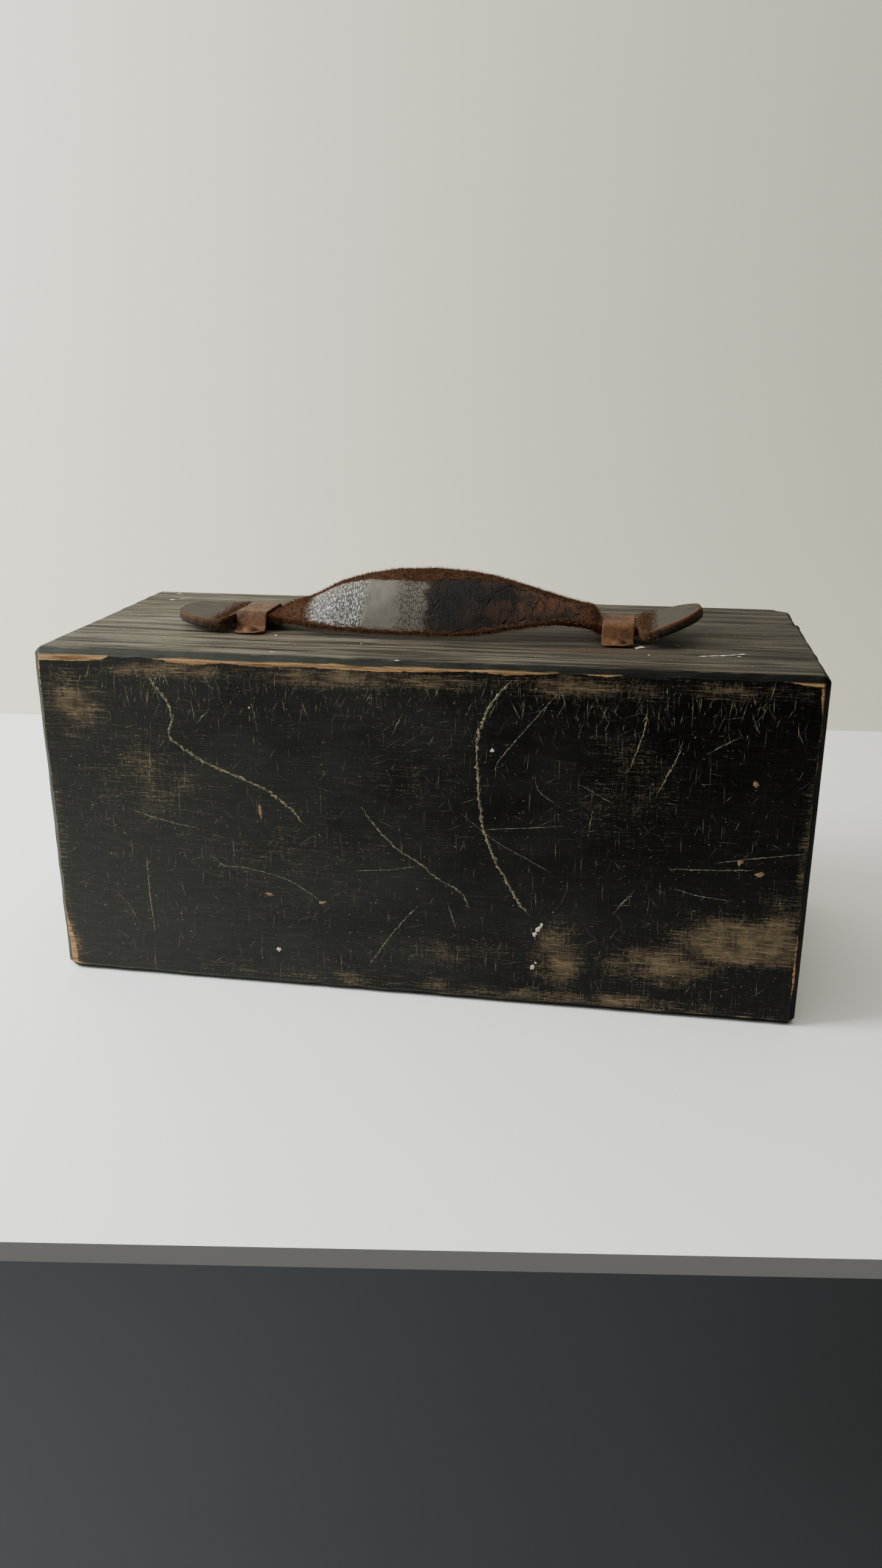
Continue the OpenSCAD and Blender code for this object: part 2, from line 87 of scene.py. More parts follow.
def makeCamera(settings):
    data = bpy.data.cameras.new("camera")
    data.sensor_fit = "VERTICAL"
    data.sensor_height = 36
    data.lens = settings["focalPixels"] * data.sensor_height / settings["photoHeight"]
    data.clip_start = 0.01
    camera = bpy.data.objects.new("camera", data)
    camera.location = [v * mm for v in settings["place"]]
    yaw, pitch = math.radians(settings["yaw"]), math.radians(settings["pitch"])
    camera.rotation_euler = (math.pi / 2 + pitch, 0, -yaw)
    bpy.context.collection.objects.link(camera)
    bpy.context.scene.camera = camera


lightSettings = {
    "window": {"place": (-0.80, -0.25, 0.62), "aim": (0, 0, 0.07), "size": 0.42, "watts": 19,
               "colour": (0.96, 0.98, 1)},
    "room": {"place": (-0.9, -1.5, 1.9), "aim": (0, 0, 0.07), "size": 2.0, "watts": 4,
             "colour": (1, 0.97, 0.92)},
    "back": {"place": (-0.1, -0.15, 1.7), "aim": (0, 0.34, 0.3), "size": 1.2, "watts": 14,
             "colour": (1, 0.97, 0.90)},
    "world": (0.82, 0.81, 0.78),
    "worldStrength": 0.25,
}


def makeLights(settings):
    for name in ("window", "room", "back"):
        spec = settings[name]
        data = bpy.data.lights.new(name, "AREA")
        data.size = spec["size"]
        data.energy = spec["watts"]
        data.color = spec["colour"]
        light = bpy.data.objects.new(name, data)
        light.location = spec["place"]
        aim = Vector(spec["aim"]) - Vector(spec["place"])
        light.rotation_euler = aim.to_track_quat("-Z", "Y").to_euler()
        bpy.context.collection.objects.link(light)
    world = bpy.data.worlds.new("world")
    world.use_nodes = True
    background = world.node_tree.nodes["Background"]
    background.inputs["Color"].default_value = (*settings["world"], 1)
    background.inputs["Strength"].default_value = settings["worldStrength"]
    bpy.context.scene.world = world


stageSettings = {
    # the wall's foot and the table's front edge, as two points each
    "wall": ((-1.2, 0.2316), (1.2, 0.4478)),
    "tableFront": ((-1.2, -0.3786), (1.2, -0.0532)),
    "wallHeight": 4,
    "tableThick": 0.007,
    "groundDrop": 0.4,
    "groundHalf": 4,
    "tones": {"table": (0.91, 0.93, 0.895), "tableEdge": (0.62, 0.62, 0.60),
              "wall": (0.70, 0.655, 0.54), "ground": (0.012, 0.016, 0.019)},
}


def makeStage(settings):
    (wallLeft, wallRight), (frontLeft, frontRight) = settings["wall"], settings["tableFront"]
    tall, under = settings["wallHeight"], -settings["tableThick"]
    drop, half = -settings["groundDrop"], settings["groundHalf"]
    quads = {
        "table": [(*frontLeft, 0), (*frontRight, 0), (*wallRight, 0), (*wallLeft, 0)],
        "tableEdge": [(*frontLeft, under), (*frontRight, under), (*frontRight, 0), (*frontLeft, 0)],
        "wall": [(*wallLeft, drop), (*wallRight, drop), (*wallRight, tall), (*wallLeft, tall)],
        "ground": [(-half, -half, drop), (half, -half, drop), (half, half, drop), (-half, half, drop)],
    }
    for name, corners in quads.items():
        mesh = bpy.data.meshes.new(name)
        mesh.from_pydata(corners, [], [(0, 1, 2, 3)])
        obj = bpy.data.objects.new(name, mesh)
        bpy.context.collection.objects.link(obj)
        material = bpy.data.materials.new(name)
        material.use_nodes = True
        nodes, links = material.node_tree.nodes, material.node_tree.links
        shader = nodes["Principled BSDF"]
        shader.inputs["Base Color"].default_value = (*settings["tones"][name], 1)
        shader.inputs["Roughness"].default_value = 0.7
        # clear from behind, so that the other sides can be looked at too
        side, clear, either = (nodes.new("ShaderNode" + kind)
                               for kind in ("NewGeometry", "BsdfTransparent", "MixShader"))
        links.new(side.outputs["Backfacing"], either.inputs[0])
        links.new(shader.outputs[0], either.inputs[1])
        links.new(clear.outputs[0], either.inputs[2])
        links.new(either.outputs[0], nodes["Material Output"].inputs["Surface"])
        mesh.materials.append(material)


makeCamera(cameraSettings)
makeLights(lightSettings)
makeStage(stageSettings)
print("camera, lights and stage made")


# Node helpers


def rgb(red, green, blue):
    return tuple(((c / 255 + 0.055) / 1.055) ** 2.4 if c > 10 else c / 255 / 12.92
                 for c in (red, green, blue)) + (1,)


class Graph:
    # what shaders and geometry recipes share
    def node(self, kind, inputs=None, **props):
        made = self.tree.nodes.new(kind)
        for key, value in props.items():
            setattr(made, key, value)
        for key, value in (inputs or {}).items():
            self.feed(made.inputs[key], value)
        return made

    def feed(self, socket, value):
        if isinstance(value, bpy.types.NodeSocket):
            self.tree.links.new(value, socket)
        else:
            socket.default_value = value

    def math(self, kind, a, b=0.0):
        made = self.node("ShaderNodeMath", operation=kind)
        self.feed(made.inputs[0], a)
        self.feed(made.inputs[1], b)
        return made.outputs[0]

    def times(self, a, b):
        return self.math("MULTIPLY", a, b)

    def plus(self, a, b):
        return self.math("ADD", a, b)


class Shade(Graph):
    # onSkin reads the piece's UV map, which is laid out in metres like the object's own axes
    def __init__(self, name, onSkin=False):
        self.material = bpy.data.materials.new(name)
        self.material.use_nodes = True
        self.tree = self.material.node_tree
        self.shader = self.tree.nodes["Principled BSDF"]
        kind = "UV" if onSkin else "Object"
        self.place = self.node("ShaderNodeTexCoord").outputs[kind]

    def stretch(self, size, place=None):
        # size is how long a feature is along each axis, in millimetres
        scale = [1 / (s * mm) for s in size]
        inputs = {"Vector": place or self.place, "Scale": scale}
        return self.node("ShaderNodeMapping", inputs).outputs["Vector"]

    def noise(self, size, detail=4, rough=0.55, twist=0, shift=0):
        inputs = {"Vector": self.stretch(size), "W": shift, "Scale": 1,
                  "Detail": detail, "Roughness": rough, "Distortion": twist}
        return self.node("ShaderNodeTexNoise", inputs, noise_dimensions="4D").outputs["Fac"]

    def cells(self, place, scatter=1):
        # how far a place is from the nearest edge between two cells
        inputs = {"Vector": place, "Scale": 1, "Randomness": scatter}
        made = self.node("ShaderNodeTexVoronoi", inputs, feature="DISTANCE_TO_EDGE")
        return made.outputs["Distance"]

    def bent(self, size, bendSize, bendMm):
        # the stretched place, first pushed about by up to bendMm
        inputs = {"Vector": self.stretch(bendSize), "Scale": 1, "Detail": 3}
        wander = self.node("ShaderNodeTexNoise", inputs)
        push = self.node("ShaderNodeVectorMath", operation="MULTIPLY_ADD")
        self.feed(push.inputs[0], wander.outputs["Color"])
        self.feed(push.inputs[1], [2 * bendMm * mm] * 3)
        self.feed(push.inputs[2], self.place)
        return self.stretch(size, push.outputs[0])

    def spread(self, value, low, high, toLow=0.0, toHigh=1.0):
        # a smooth step from low to high
        made = self.node("ShaderNodeMapRange", interpolation_type="SMOOTHSTEP")
        for key, item in (("Value", value), ("From Min", low), ("From Max", high),
                          ("To Min", toLow), ("To Max", toHigh)):
            self.feed(made.inputs[key], item)
        return made.outputs["Result"]

    def mix(self, share, a, b):
        made = self.node("ShaderNodeMix", data_type="RGBA")
        self.feed(made.inputs[0], share)
        self.feed(made.inputs[6], a)
        self.feed(made.inputs[7], b)
        return made.outputs[2]

    def over(self, under, tone, value, low, high, share):
        # tone laid over what is under it, by up to share where value rises from low to high
        return self.mix(self.times(self.spread(value, low, high), share), under, tone)

    def attribute(self, name):
        return self.node("ShaderNodeAttribute", attribute_name=name).outputs["Fac"]

    def axis(self, name):
        return self.node("ShaderNodeSeparateXYZ", {"Vector": self.place}).outputs[name]

    def bump(self, height, depthMm, strength=1.0, under=None):
        inputs = {"Height": height, "Distance": depthMm * mm, "Strength": strength}
        if under is not None:
            inputs["Normal"] = under
        return self.node("ShaderNodeBump", inputs).outputs["Normal"]

    def finish(self, colour, rough, normal=None, **plain):
        self.feed(self.shader.inputs["Base Color"], colour)
        self.feed(self.shader.inputs["Roughness"], rough)
        if normal is not None:
            self.feed(self.shader.inputs["Normal"], normal)
        for key, value in plain.items():
            self.shader.inputs[key.replace("_", " ")].default_value = value
        return self.material


# Mesh helpers


def valueNoise(points, size, seed):
    # smooth random values from 0 to 1 that change over about size millimetres
    cell = points / size
    base = np.floor(cell).astype(np.int64)
    part = cell - base
    part = part * part * (3 - 2 * part)
    total = np.zeros(len(points))
    for corner in np.ndindex(2, 2, 2):
        mixed = ((base + corner) * (73856093, 19349663, 83492791)).sum(axis=1) + seed * 40503
        mixed = ((mixed ^ (mixed >> 13)) * 1274126177) & 0xFFFFFFFF
        value = ((mixed ^ (mixed >> 15)) & 0xFFFF) / 0xFFFF
        total += value * np.prod(np.where(corner, part, 1 - part), axis=1)
    return total


# one seed for each use of valueNoise, so that no two patterns are the same
noiseSeeds = {
    "bevel": 3, "wave": 11, "furrow": 12, "nick": 21, "rubCloud": 31, "rubGrain": 32, "lump": 41,
    "lumpGrain": 42, "dent": 51, "wrinkle": 61,
}


def smoothStep(value, low, high):
    part = np.clip((value - low) / (high - low), 0, 1)
    return part * part * (3 - 2 * part)


def between(value, rise, fall):
    # 0 before rise, 1 from its end up to the start of fall, and 0 again after that
    return smoothStep(value, *rise) * (1 - smoothStep(value, *fall))


def unit(vectors):
    return vectors / np.maximum(np.linalg.norm(vectors, axis=1), 1e-6)[:, None]


def lengthsAlong(path):
    return np.concatenate([[0], np.cumsum(np.linalg.norm(np.diff(path, axis=0), axis=1))])


def spline(a, b, c, d, t):
    # the smooth curve from b to c, where a and d are the stops before and after
    return 0.5 * (2 * b + (c - a) * t + (2 * a - 5 * b + 4 * c - d) * t * t
                  + (3 * b - a - 3 * c + d) * t ** 3)


sharpAngle = 60


def makePiece(name, points, faces, material, fields=None):
    # points are in millimetres, fields are one number for each point
    mesh = bpy.data.meshes.new(name)
    mesh.from_pydata((np.asarray(points) * mm).tolist(), [], [list(map(int, f)) for f in faces])
    for key, values in (fields or {}).items():
        layer = mesh.attributes.new(key, "FLOAT", "POINT")
        layer.data.foreach_set("value", np.asarray(values, dtype=np.float32))
    mesh.materials.append(material)
    mesh.shade_smooth()
    mesh.set_sharp_from_angle(angle=math.radians(sharpAngle))
    mesh.validate()
    obj = bpy.data.objects.new(name, mesh)
    bpy.context.collection.objects.link(obj)
    return obj


def faceOutward(piece):
    mesh = bmesh.new()
    mesh.from_mesh(piece.data)
    bmesh.ops.recalc_face_normals(mesh, faces=mesh.faces)
    mesh.to_mesh(piece.data)
    mesh.free()


# Painted wood


paintSettings = {
    # black and blackDeep, and band and bandDark, are the ends of a mix of random cloud and painted light
    # that lightens the left end
    "black": rgb(35, 36, 33),
    "blackDeep": rgb(3, 3, 3),
    "rubbed": rgb(104, 89, 66),
    "rubbedDark": rgb(56, 48, 37),
    "bare": rgb(182, 146, 102),
    "bareDark": rgb(100, 75, 50),
    "weathered": rgb(104, 99, 84),
    "weatheredDark": rgb(11, 11, 10),
    "weatheredBrown": rgb(58, 49, 35),
    "band": rgb(46, 49, 42),
    "bandDark": rgb(4, 5, 4),
    "inner": rgb(58, 44, 34),
    # how strongly the painted light lightens the left end and darkens the right end
    "paintedLightRamp": 0.5,
}


def paintedWood(settings, name="paintedWood", rail=False):
    s = Shade(name)
    strapSide, band, inner = (s.attribute(n) for n in ("strapSide", "band", "inner"))
    arris, rub, stain = (s.attribute(n) for n in ("arris", "rub", "stain"))
    if rail:
        # inside are the face that looks up and the rims along its sides
        facing = s.node("ShaderNodeSeparateXYZ", {"Vector": s.node("ShaderNodeTexCoord").outputs["Normal"]})
        inner = s.math("MAXIMUM", facing.outputs["Z"], s.math("ABSOLUTE", facing.outputs["Y"]))
        inner = s.spread(inner, 0.6, 0.8)

    fine = s.noise((11, 9, 0.35), 4, 0.7)
    cross = s.noise((0.45, 3, 9), 4, 0.7, shift=3)
    cloud = s.noise((40, 30, 26), 4, 0.6, shift=1)
    speck = s.noise((1.4, 1.4, 0.9), 5, 0.75, shift=5)
    # painted light: the paint is lighter towards the left and darker towards the right, as if lit from the
    # left; a cloud adds tone that differs at random
    along = s.times(s.axis("X"), -settings["paintedLightRamp"] / (caseHigh[0] * mm))
    cloudAndPaintedLight = s.plus(cloud, along)
    cloudAndPaintedLight = s.spread(cloudAndPaintedLight, 0.1, 0.95)
    black = s.mix(cloudAndPaintedLight, settings["blackDeep"], settings["black"])
    lineShare = s.spread(cloudAndPaintedLight, 0, 1, 0.28, 0.60)
    black = s.over(black, rgb(66, 62, 54), fine, 0.50, 0.72, lineShare)
    black = s.over(black, rgb(58, 54, 46), cross, 0.52, 0.74, 0.30)
    black = s.over(black, rgb(70, 62, 48), speck, 0.60, 0.72, 0.40)

    streak = s.plus(s.times(fine, 0.60), s.times(speck, 0.70))
    streak = s.plus(streak, s.times(cross, 0.50))
    rubMask = s.spread(s.plus(s.times(rub, 0.50), streak), 1.08, 1.38)
    rubTone = s.mix(s.spread(s.noise((7, 7, 5), 4, 0.6, shift=6), 0.35, 0.65),
                    settings["rubbedDark"], settings["rubbed"])
    rubTone = s.over(rubTone, rgb(142, 124, 94), fine, 0.50, 0.64, 0.65)
    rubTone = s.over(rubTone, rgb(32, 28, 23), cross, 0.54, 0.66, 0.40)
    colour = s.mix(s.times(rubMask, 0.88), black, rubTone)

    ragged = s.noise((5, 5, 1.6), 5, 0.65, shift=2)
    arrisMask = s.spread(s.plus(arris, s.times(ragged, 1.2)), 1.02, 1.22)
    bareTone = s.mix(s.spread(s.noise((16, 16, 0.6), 4, 0.65, shift=7), 0.35, 0.68),
                     settings["bareDark"], settings["bare"])
    colour = s.mix(arrisMask, colour, bareTone)

    # painted light: the bevel band is lighter towards the left by the same ramp along x
    bandTone = s.mix(s.spread(s.plus(s.noise((12, 8, 3), 5, 0.7, shift=4), along), 0.05, 1.0),
                     settings["bandDark"], settings["band"])
    bandTone = s.over(bandTone, rgb(96, 92, 80), speck, 0.60, 0.75, 0.35)
    colour = s.mix(band, colour, bandTone)

    grainA = s.noise((80, 1.2, 4), 5, 0.72, shift=8)
    grainB = s.noise((46, 3.6, 4), 3, 0.6, twist=0.25, shift=9)
    grainC = s.noise((34, 8, 6), 3, 0.5, shift=10)
    grain = s.plus(s.times(grainA, 0.62), s.times(grainB, 0.38))
    old = s.mix(s.spread(grain, 0.43, 0.56), settings["weatheredDark"], settings["weathered"])
    old = s.over(old, settings["weatheredBrown"], grainC, 0.45, 0.75, 0.5)
    old = s.over(old, rgb(64, 47, 32), grainB, 0.3, 0.6, stain)
    hairline = s.noise((110, 0.8, 4), 3, 0.6, shift=11)
    old = s.over(old, rgb(10, 9, 8), hairline, 0.52, 0.62, 0.75)
    # painted shade: the strap side is darkened towards the right end, away from the light
    old = s.mix(s.spread(s.axis("X"), -0.03, 0.15, 0, 0.5), old, rgb(24, 22, 18))
    colour = s.mix(strapSide, colour, old)
    wood = s.mix(s.spread(grain, 0.35, 0.65), rgb(44, 33, 26), settings["inner"])
    colour = s.mix(inner, colour, wood)

    rough = s.spread(cloud, 0.2, 0.8, 0.36, 0.52)
    rough = s.plus(rough, s.times(rubMask, 0.22))
    rough = s.math("MAXIMUM", rough, s.times(strapSide, 0.62))
    rough = s.math("MAXIMUM", rough, s.times(arrisMask, 0.75))
    height = s.plus(s.times(fine, 0.6), s.times(cross, 0.4))
    height = s.plus(height, s.times(rubMask, -0.35))
    plain = s.bump(height, 0.12, 0.8)
    furrow = s.times(grain, strapSide)
    return s.finish(colour, rough, s.bump(furrow, 0.75, 0.9, plain), Specular_IOR_Level=0.12)


boardSettings = {
    "step": 1.3,
    "edgeStep": 0.45,
    "edgeZone": 4.5,
    "bevel": 2.8,
    "softness": 1.15,
    "dip": 0.10,
    "wave": 0.16,
    "waveSize": (42, 34, 30),
    "furrow": 0.10,
    "furrowSize": (60, 1.9, 4),
    "chip": 0.9,
    "chipSize": 6,
    "nickGrain": 1.6,
    "rubCloud": 24,
    "rubGrain": (9, 9, 7),
    # bare wood below the top edge of the front board: x, depth
    "bareTop": [(-152, 2.4), (-135, 2.2), (-124, 1.6), (-119, -0.6), (-112, -0.2), (-104, -0.5),
                (-96, 1.2), (-84, 2.0), (-74, 0.9), (-60, 1.7), (-40, 1.2), (-15, 1.9), (5, 1.3),
                (22, 0.4), (36, 1.3), (46, 0.6), (60, -0.6), (72, 0.5), (80, -0.6), (92, -1.3),
                (132, -1.2), (142, 0.6), (152, 1.6)],
    "bareFoot": [(-152, 0.9), (-140, -0.1), (-60, -0.5), (0, -0.3), (60, -0.5), (120, 0.1), (152, 0)],
    # up the left and right edges of the front board: z, depth
    "bareLeft": [(0, 2.8), (14, 2.4), (22, 0.5), (34, -0.6), (100, -0.9), (120, -0.3), (141, 0.5)],
    "bareRight": [(0, -0.1), (30, 0.2), (60, -0.6), (90, 0.0), (125, -0.4), (141, 1.6)],
    "bareElsewhere": -0.45,
    # fine scratches fade in over the foot, and out under the top edge and towards the ends
    "marksFoot": (5, 11),
    "marksTop": (132, 137),
    "marksEnds": (142, 148),
    "ticksFrom": (108, 128),
    # brown stains on the strap side: x, y, half length, half width, strength
    "stains": [(62, -36, 26, 9, 0.9), (-64, -22, 16, 7, 0.4), (76, -10, 16, 16, 0.7),
               (10, -40, 40, 6, 0.35), (-76, -8, 18, 20, 0.35)],
    # rubbed places on the front board: x, z, half width, half height, strength
    "rubs": [
        (-138, 120, 16, 18, 0.75), (-149, 60, 5, 60, 0.5), (-150, 12, 6, 16, 1.1),
        (-95, 134, 40, 5, 0.75), (-20, 134, 60, 6, 0.75), (60, 134, 50, 6, 0.65),
        (120, 135, 40, 5, 0.6), (130, 35, 26, 11, 1.2), (143, 42, 10, 16, 0.9),
        (100, 22, 32, 10, 0.75), (58, 24, 13, 14, 0.95), (20, 22, 34, 9, 0.5),
        (-20, 6, 110, 6, 0.5), (60, 5, 100, 5, 0.7), (150, 70, 4, 60, 0.6),
        (-112, 88, 34, 26, 0.5), (-60, 62, 60, 30, 0.32), (82, 96, 26, 34, 0.4),
        (4, 100, 40, 30, 0.3),
    ],
    # knocked edges and corners: x, y, z, reach, depth
    "nicks": [
        (-152.5, -12, 141.4, 3.5, 0.9), (-152.5, 6, 141.4, 2.5, 0.7), (152, 30, 141.4, 5, 1.2),
        (152, 48, 141.4, 4, 0.8), (151.6, 65.5, 141.4, 9, 2.2), (152.5, -65.5, 141.4, 4, 0.6),
        (-152.5, 65.5, 141.4, 4, 0.9), (-152.5, -65.5, 0, 4, 0.8), (152.5, -65.5, 0, 4, 0.7),
        (-98, -65.5, 138.4, 3, 0.35), (152.5, 10, 141.4, 3, 0.7), (152.5, -30, 141.4, 3, 0.5),
    ],
}


def edgeTicks(low, high, settings):
    span, edge = high - low, settings["edgeZone"]
    if span < 3 * edge:
        return np.linspace(low, high, max(4, round(span / 0.6)) + 1)
    near = np.arange(0, edge, settings["edgeStep"])
    count = round((span - 2 * edge) / settings["step"]) + 1
    return np.concatenate([low + near, np.linspace(low + edge, high - edge, count),
                           high - near[::-1]])


def latticeBox(low, high, settings):
    rulers = [edgeTicks(low[i], high[i], settings) for i in range(3)]
    points, faces = [], []
    start = 0
    for axis in range(3):
        b, c = (axis + 1) % 3, (axis + 2) % 3
        nb, nc = len(rulers[b]), len(rulers[c])
        grid = np.zeros((nb, nc, 3))
        grid[..., b], grid[..., c] = np.meshgrid(rulers[b], rulers[c], indexing="ij")
        order = np.arange(nb * nc).reshape(nb, nc)
        quads = np.stack([order[:-1, :-1], order[1:, :-1], order[1:, 1:], order[:-1, 1:]], -1)
        quads = quads.reshape(-1, 4)
        for end, place in ((0, low[axis]), (1, high[axis])):
            side = grid.copy()
            side[..., axis] = place
            points.append(side.reshape(-1, 3))
            faces.append((quads if end else quads[:, ::-1]) + start)
            start += nb * nc
    points, faces = np.round(np.concatenate(points), 4), np.concatenate(faces)
    points, index = np.unique(points, axis=0, return_inverse=True)
    return points, index.reshape(-1)[faces]


def outerPlanes(low, high):
    # the outside faces of the closed case that this board is part of: axis and direction
    ends = (caseLow, caseHigh)
    return [(i, s) for i in range(3) for s in (0, 1) if abs((low, high)[s][i] - ends[s][i]) < 1]


def shapeBoard(points, low, high, settings):
    planes = outerPlanes(low, high)
    away = np.stack([np.abs(points[:, i] - (low, high)[s][i]) for i, s in planes], 1)
    outward = np.array([[(-1, 1)[s] if i == k else 0 for k in range(3)] for i, s in planes], float)
    chip = valueNoise(points, settings["chipSize"], noiseSeeds["bevel"]) - 0.5
    cut = settings["bevel"] + settings["chip"] * chip
    depth = np.clip(cut[:, None] - away, 0, None)
    norm = (depth ** settings["softness"]).sum(1) ** (1 / settings["softness"])
    outside = away.min(1) < 1e-3
    scale = np.where(norm > cut, cut / np.maximum(norm, 1e-6), 1)
    shaped = points - ((depth * (1 - scale[:, None])) @ outward)
    facing = unit(depth) @ outward
    ranked = np.sort(np.column_stack([depth, np.zeros(len(depth))]), axis=1)
    onBevel = smoothStep(ranked[:, -2] / np.maximum(ranked[:, -1], 1e-6), 0.02, 0.14) * outside
    wave = valueNoise(points, settings["waveSize"], noiseSeeds["wave"])
    furrow = valueNoise(points, settings["furrowSize"], noiseSeeds["furrow"])
    furrow = furrow * (facing[:, 2] > 0.9)
    sink = settings["dip"] + settings["wave"] * wave + settings["furrow"] * furrow
    rough = 0.5 + valueNoise(points, settings["nickGrain"], noiseSeeds["nick"])
    for x, y, z, reach, dent in settings["nicks"]:
        span = np.linalg.norm(points - (x, y, z), axis=1)
        sink = sink + dent * rough * (1 - smoothStep(span, 0.2 * reach, reach))
    shaped -= facing * (sink * outside)[:, None]
    return shaped, away, facing, outside, onBevel, planes


def bareDepth(points, away, planes, front, settings):
    # how much of the bare wood strip along each edge of a face has not yet been used up
    left = np.full(len(points), -9.0)
    for k, (axis, side) in enumerate(planes):
        beyond = away[:, k] - settings["bevel"]
        beyond = np.where(away[:, k] < 1e-3, 99, beyond)
        deep = np.full(len(points), settings["bareElsewhere"])
        if axis == 2:
            spec = settings["bareTop"] if side else settings["bareFoot"]
            deep = np.where(front, np.interp(points[:, 0], *zip(*spec)), deep)
        elif axis == 0:
            spec = settings["bareRight"] if side else settings["bareLeft"]
            deep = np.where(front, np.interp(points[:, 2], *zip(*spec)), deep)
        left = np.maximum(left, deep - beyond)
    return left


def patchSum(a, b, patches):
    total = np.zeros(len(a))
    for x, y, wide, tall, strength in patches:
        total = np.maximum(total, strength * np.exp(-((a - x) / wide) ** 2 - ((b - y) / tall) ** 2))
    return total


def boardFields(points, away, facing, outside, onBevel, planes, settings):
    front = (facing[:, 1] < -0.7) & (onBevel < 0.9) & outside
    strapSide = (facing[:, 2] > 0.7) * (1 - onBevel) * outside
    bare = bareDepth(points, away, planes, front, settings)
    arris = np.clip(0.5 + 0.5 * bare, 0, 1) * outside * (1 - strapSide)
    cloud = valueNoise(points, settings["rubCloud"], noiseSeeds["rubCloud"])
    elsewhere = np.clip(0.8 * cloud - 0.1, 0, 1)
    rub = np.where(front, patchSum(points[:, 0], points[:, 2], settings["rubs"]), elsewhere)
    rub = rub * (0.55 + 0.9 * valueNoise(points, settings["rubGrain"], noiseSeeds["rubGrain"]))
    stain = patchSum(points[:, 0], points[:, 1], settings["stains"]) * strapSide
    # scratches keep clear of the edges, so that none sticks out past one
    across = np.abs(points[:, 0])
    clear = between(points[:, 2], settings["marksFoot"], settings["marksTop"])
    clear = front * clear * (1 - smoothStep(across, *settings["marksEnds"]))
    return {"strapSide": strapSide, "band": onBevel, "inner": 1.0 - outside, "arris": arris,
            "rub": rub, "stain": stain, "tick": clear * smoothStep(points[:, 2], *settings["ticksFrom"]),
            "hair": clear * (0.25 + 0.75 * np.clip(rub, 0, 1)), "strew": strapSide}


boardBodies = {
    "front_board": "case", "top_rail": "case", "left_end": "case", "right_end": "case",
    "lid_board": "lid", "lid_top_rail": "lid", "lid_left_end": "lid", "lid_right_end": "lid",
}
paint = paintedWood(paintSettings)


def makeBoards(settings):
    for node, body in boardBodies.items():
        low, high = nodeBox(node)
        points, faces = latticeBox(low, high, settings)
        shaped, away, facing, outside, onBevel, planes = shapeBoard(points, low, high, settings)
        fields = boardFields(points, away, facing, outside, onBevel, planes, settings)
        board = makePiece("worn_" + node, shaped, faces, paint, fields)
        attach(board, body)
        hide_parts(node)
        boards[node] = board


boards = {}
makeBoards(boardSettings)
print("boards made")


# Geometry Nodes helper


class Recipe(Graph):
    def __init__(self, name):
        self.tree = bpy.data.node_groups.new(name, "GeometryNodeTree")
        self.values = {}
        for way in ("INPUT", "OUTPUT"):
            self.tree.interface.new_socket("Geometry", in_out=way, socket_type="NodeSocketGeometry")
        self.start = self.tree.nodes.new("NodeGroupInput")
        self.shape = self.start.outputs["Geometry"]

    def ask(self, name, value, kind="Float"):
        socket = self.tree.interface.new_socket(name, in_out="INPUT", socket_type="NodeSocket" + kind)
        self.values[socket.identifier] = value
        return self.start.outputs[name]

    def field(self, name):
        return self.node("GeometryNodeInputNamedAttribute", {"Name": name}).outputs["Attribute"]

    def chance(self, low, high, seed):
        made = self.node("FunctionNodeRandomValue", data_type="FLOAT")
        for key, value in ((2, low), (3, high), (8, seed)):
            self.feed(made.inputs[key], value)
        return made.outputs[1]

    def combine(self, x=0.0, y=0.0, z=0.0):
        return self.node("ShaderNodeCombineXYZ", {"X": x, "Y": y, "Z": z}).outputs[0]

    def scatter(self, field, settings):
        # points strewn over the source, as thickly as the field says, and their seed
        density = self.ask("Density", settings["perSquareMm"] / mm ** 2)
        seed = self.ask("Seed", settings["seed"], "Int")
        made = self.node("GeometryNodeDistributePointsOnFaces", {
            "Mesh": self.shape, "Density": self.times(self.field(field), density), "Seed": seed})
        return made.outputs, seed

    def plant(self, points, shape, turn, size, tone, material):
        # one copy of the shape on each point, with a tone of its own
        put = self.node("GeometryNodeInstanceOnPoints", {
            "Points": points, "Instance": shape, "Rotation": turn, "Scale": size})
        toned = self.node("GeometryNodeStoreNamedAttribute", {
            "Geometry": put.outputs["Instances"], "Name": "tone", "Value": tone},
            domain="INSTANCE", data_type="FLOAT")
        self.finish(toned.outputs["Geometry"], material)

    def finish(self, shape, material):
        real = self.node("GeometryNodeRealizeInstances", {"Geometry": shape})
        inked = self.node("GeometryNodeSetMaterial", {"Geometry": real.outputs[0]})
        self.feed(inked.inputs["Material"], self.ask("Material", material, "Material"))
        end = self.tree.nodes.new("NodeGroupOutput")
        self.tree.links.new(inked.outputs[0], end.inputs["Geometry"])


def grow(source, recipe, name):
    # the recipe's result on the source, as a plain mesh of its own
    modifier = source.modifiers.new(name, "NODES")
    modifier.node_group = recipe.tree
    for identifier, value in recipe.values.items():
        modifier[identifier] = value
    graph = bpy.context.evaluated_depsgraph_get()
    mesh = bpy.data.meshes.new_from_object(source.evaluated_get(graph))
    source.modifiers.remove(modifier)
    made = bpy.data.objects.new(name, mesh)
    bpy.context.collection.objects.link(made)
    return made


# Scratches, hair lines and flecks of paint


def scratchMark():
    s = Shade("scratchMark")
    tone = s.attribute("tone")
    grit = s.noise((1.2, 1.2, 1.2), 4, 0.7)
    colour = s.mix(tone, rgb(50, 46, 36), rgb(138, 124, 92))
    colour = s.over(colour, rgb(30, 27, 21), grit, 0.44, 0.56, 0.9)
    return s.finish(colour, 0.8, s.bump(grit, 0.1, 0.5))


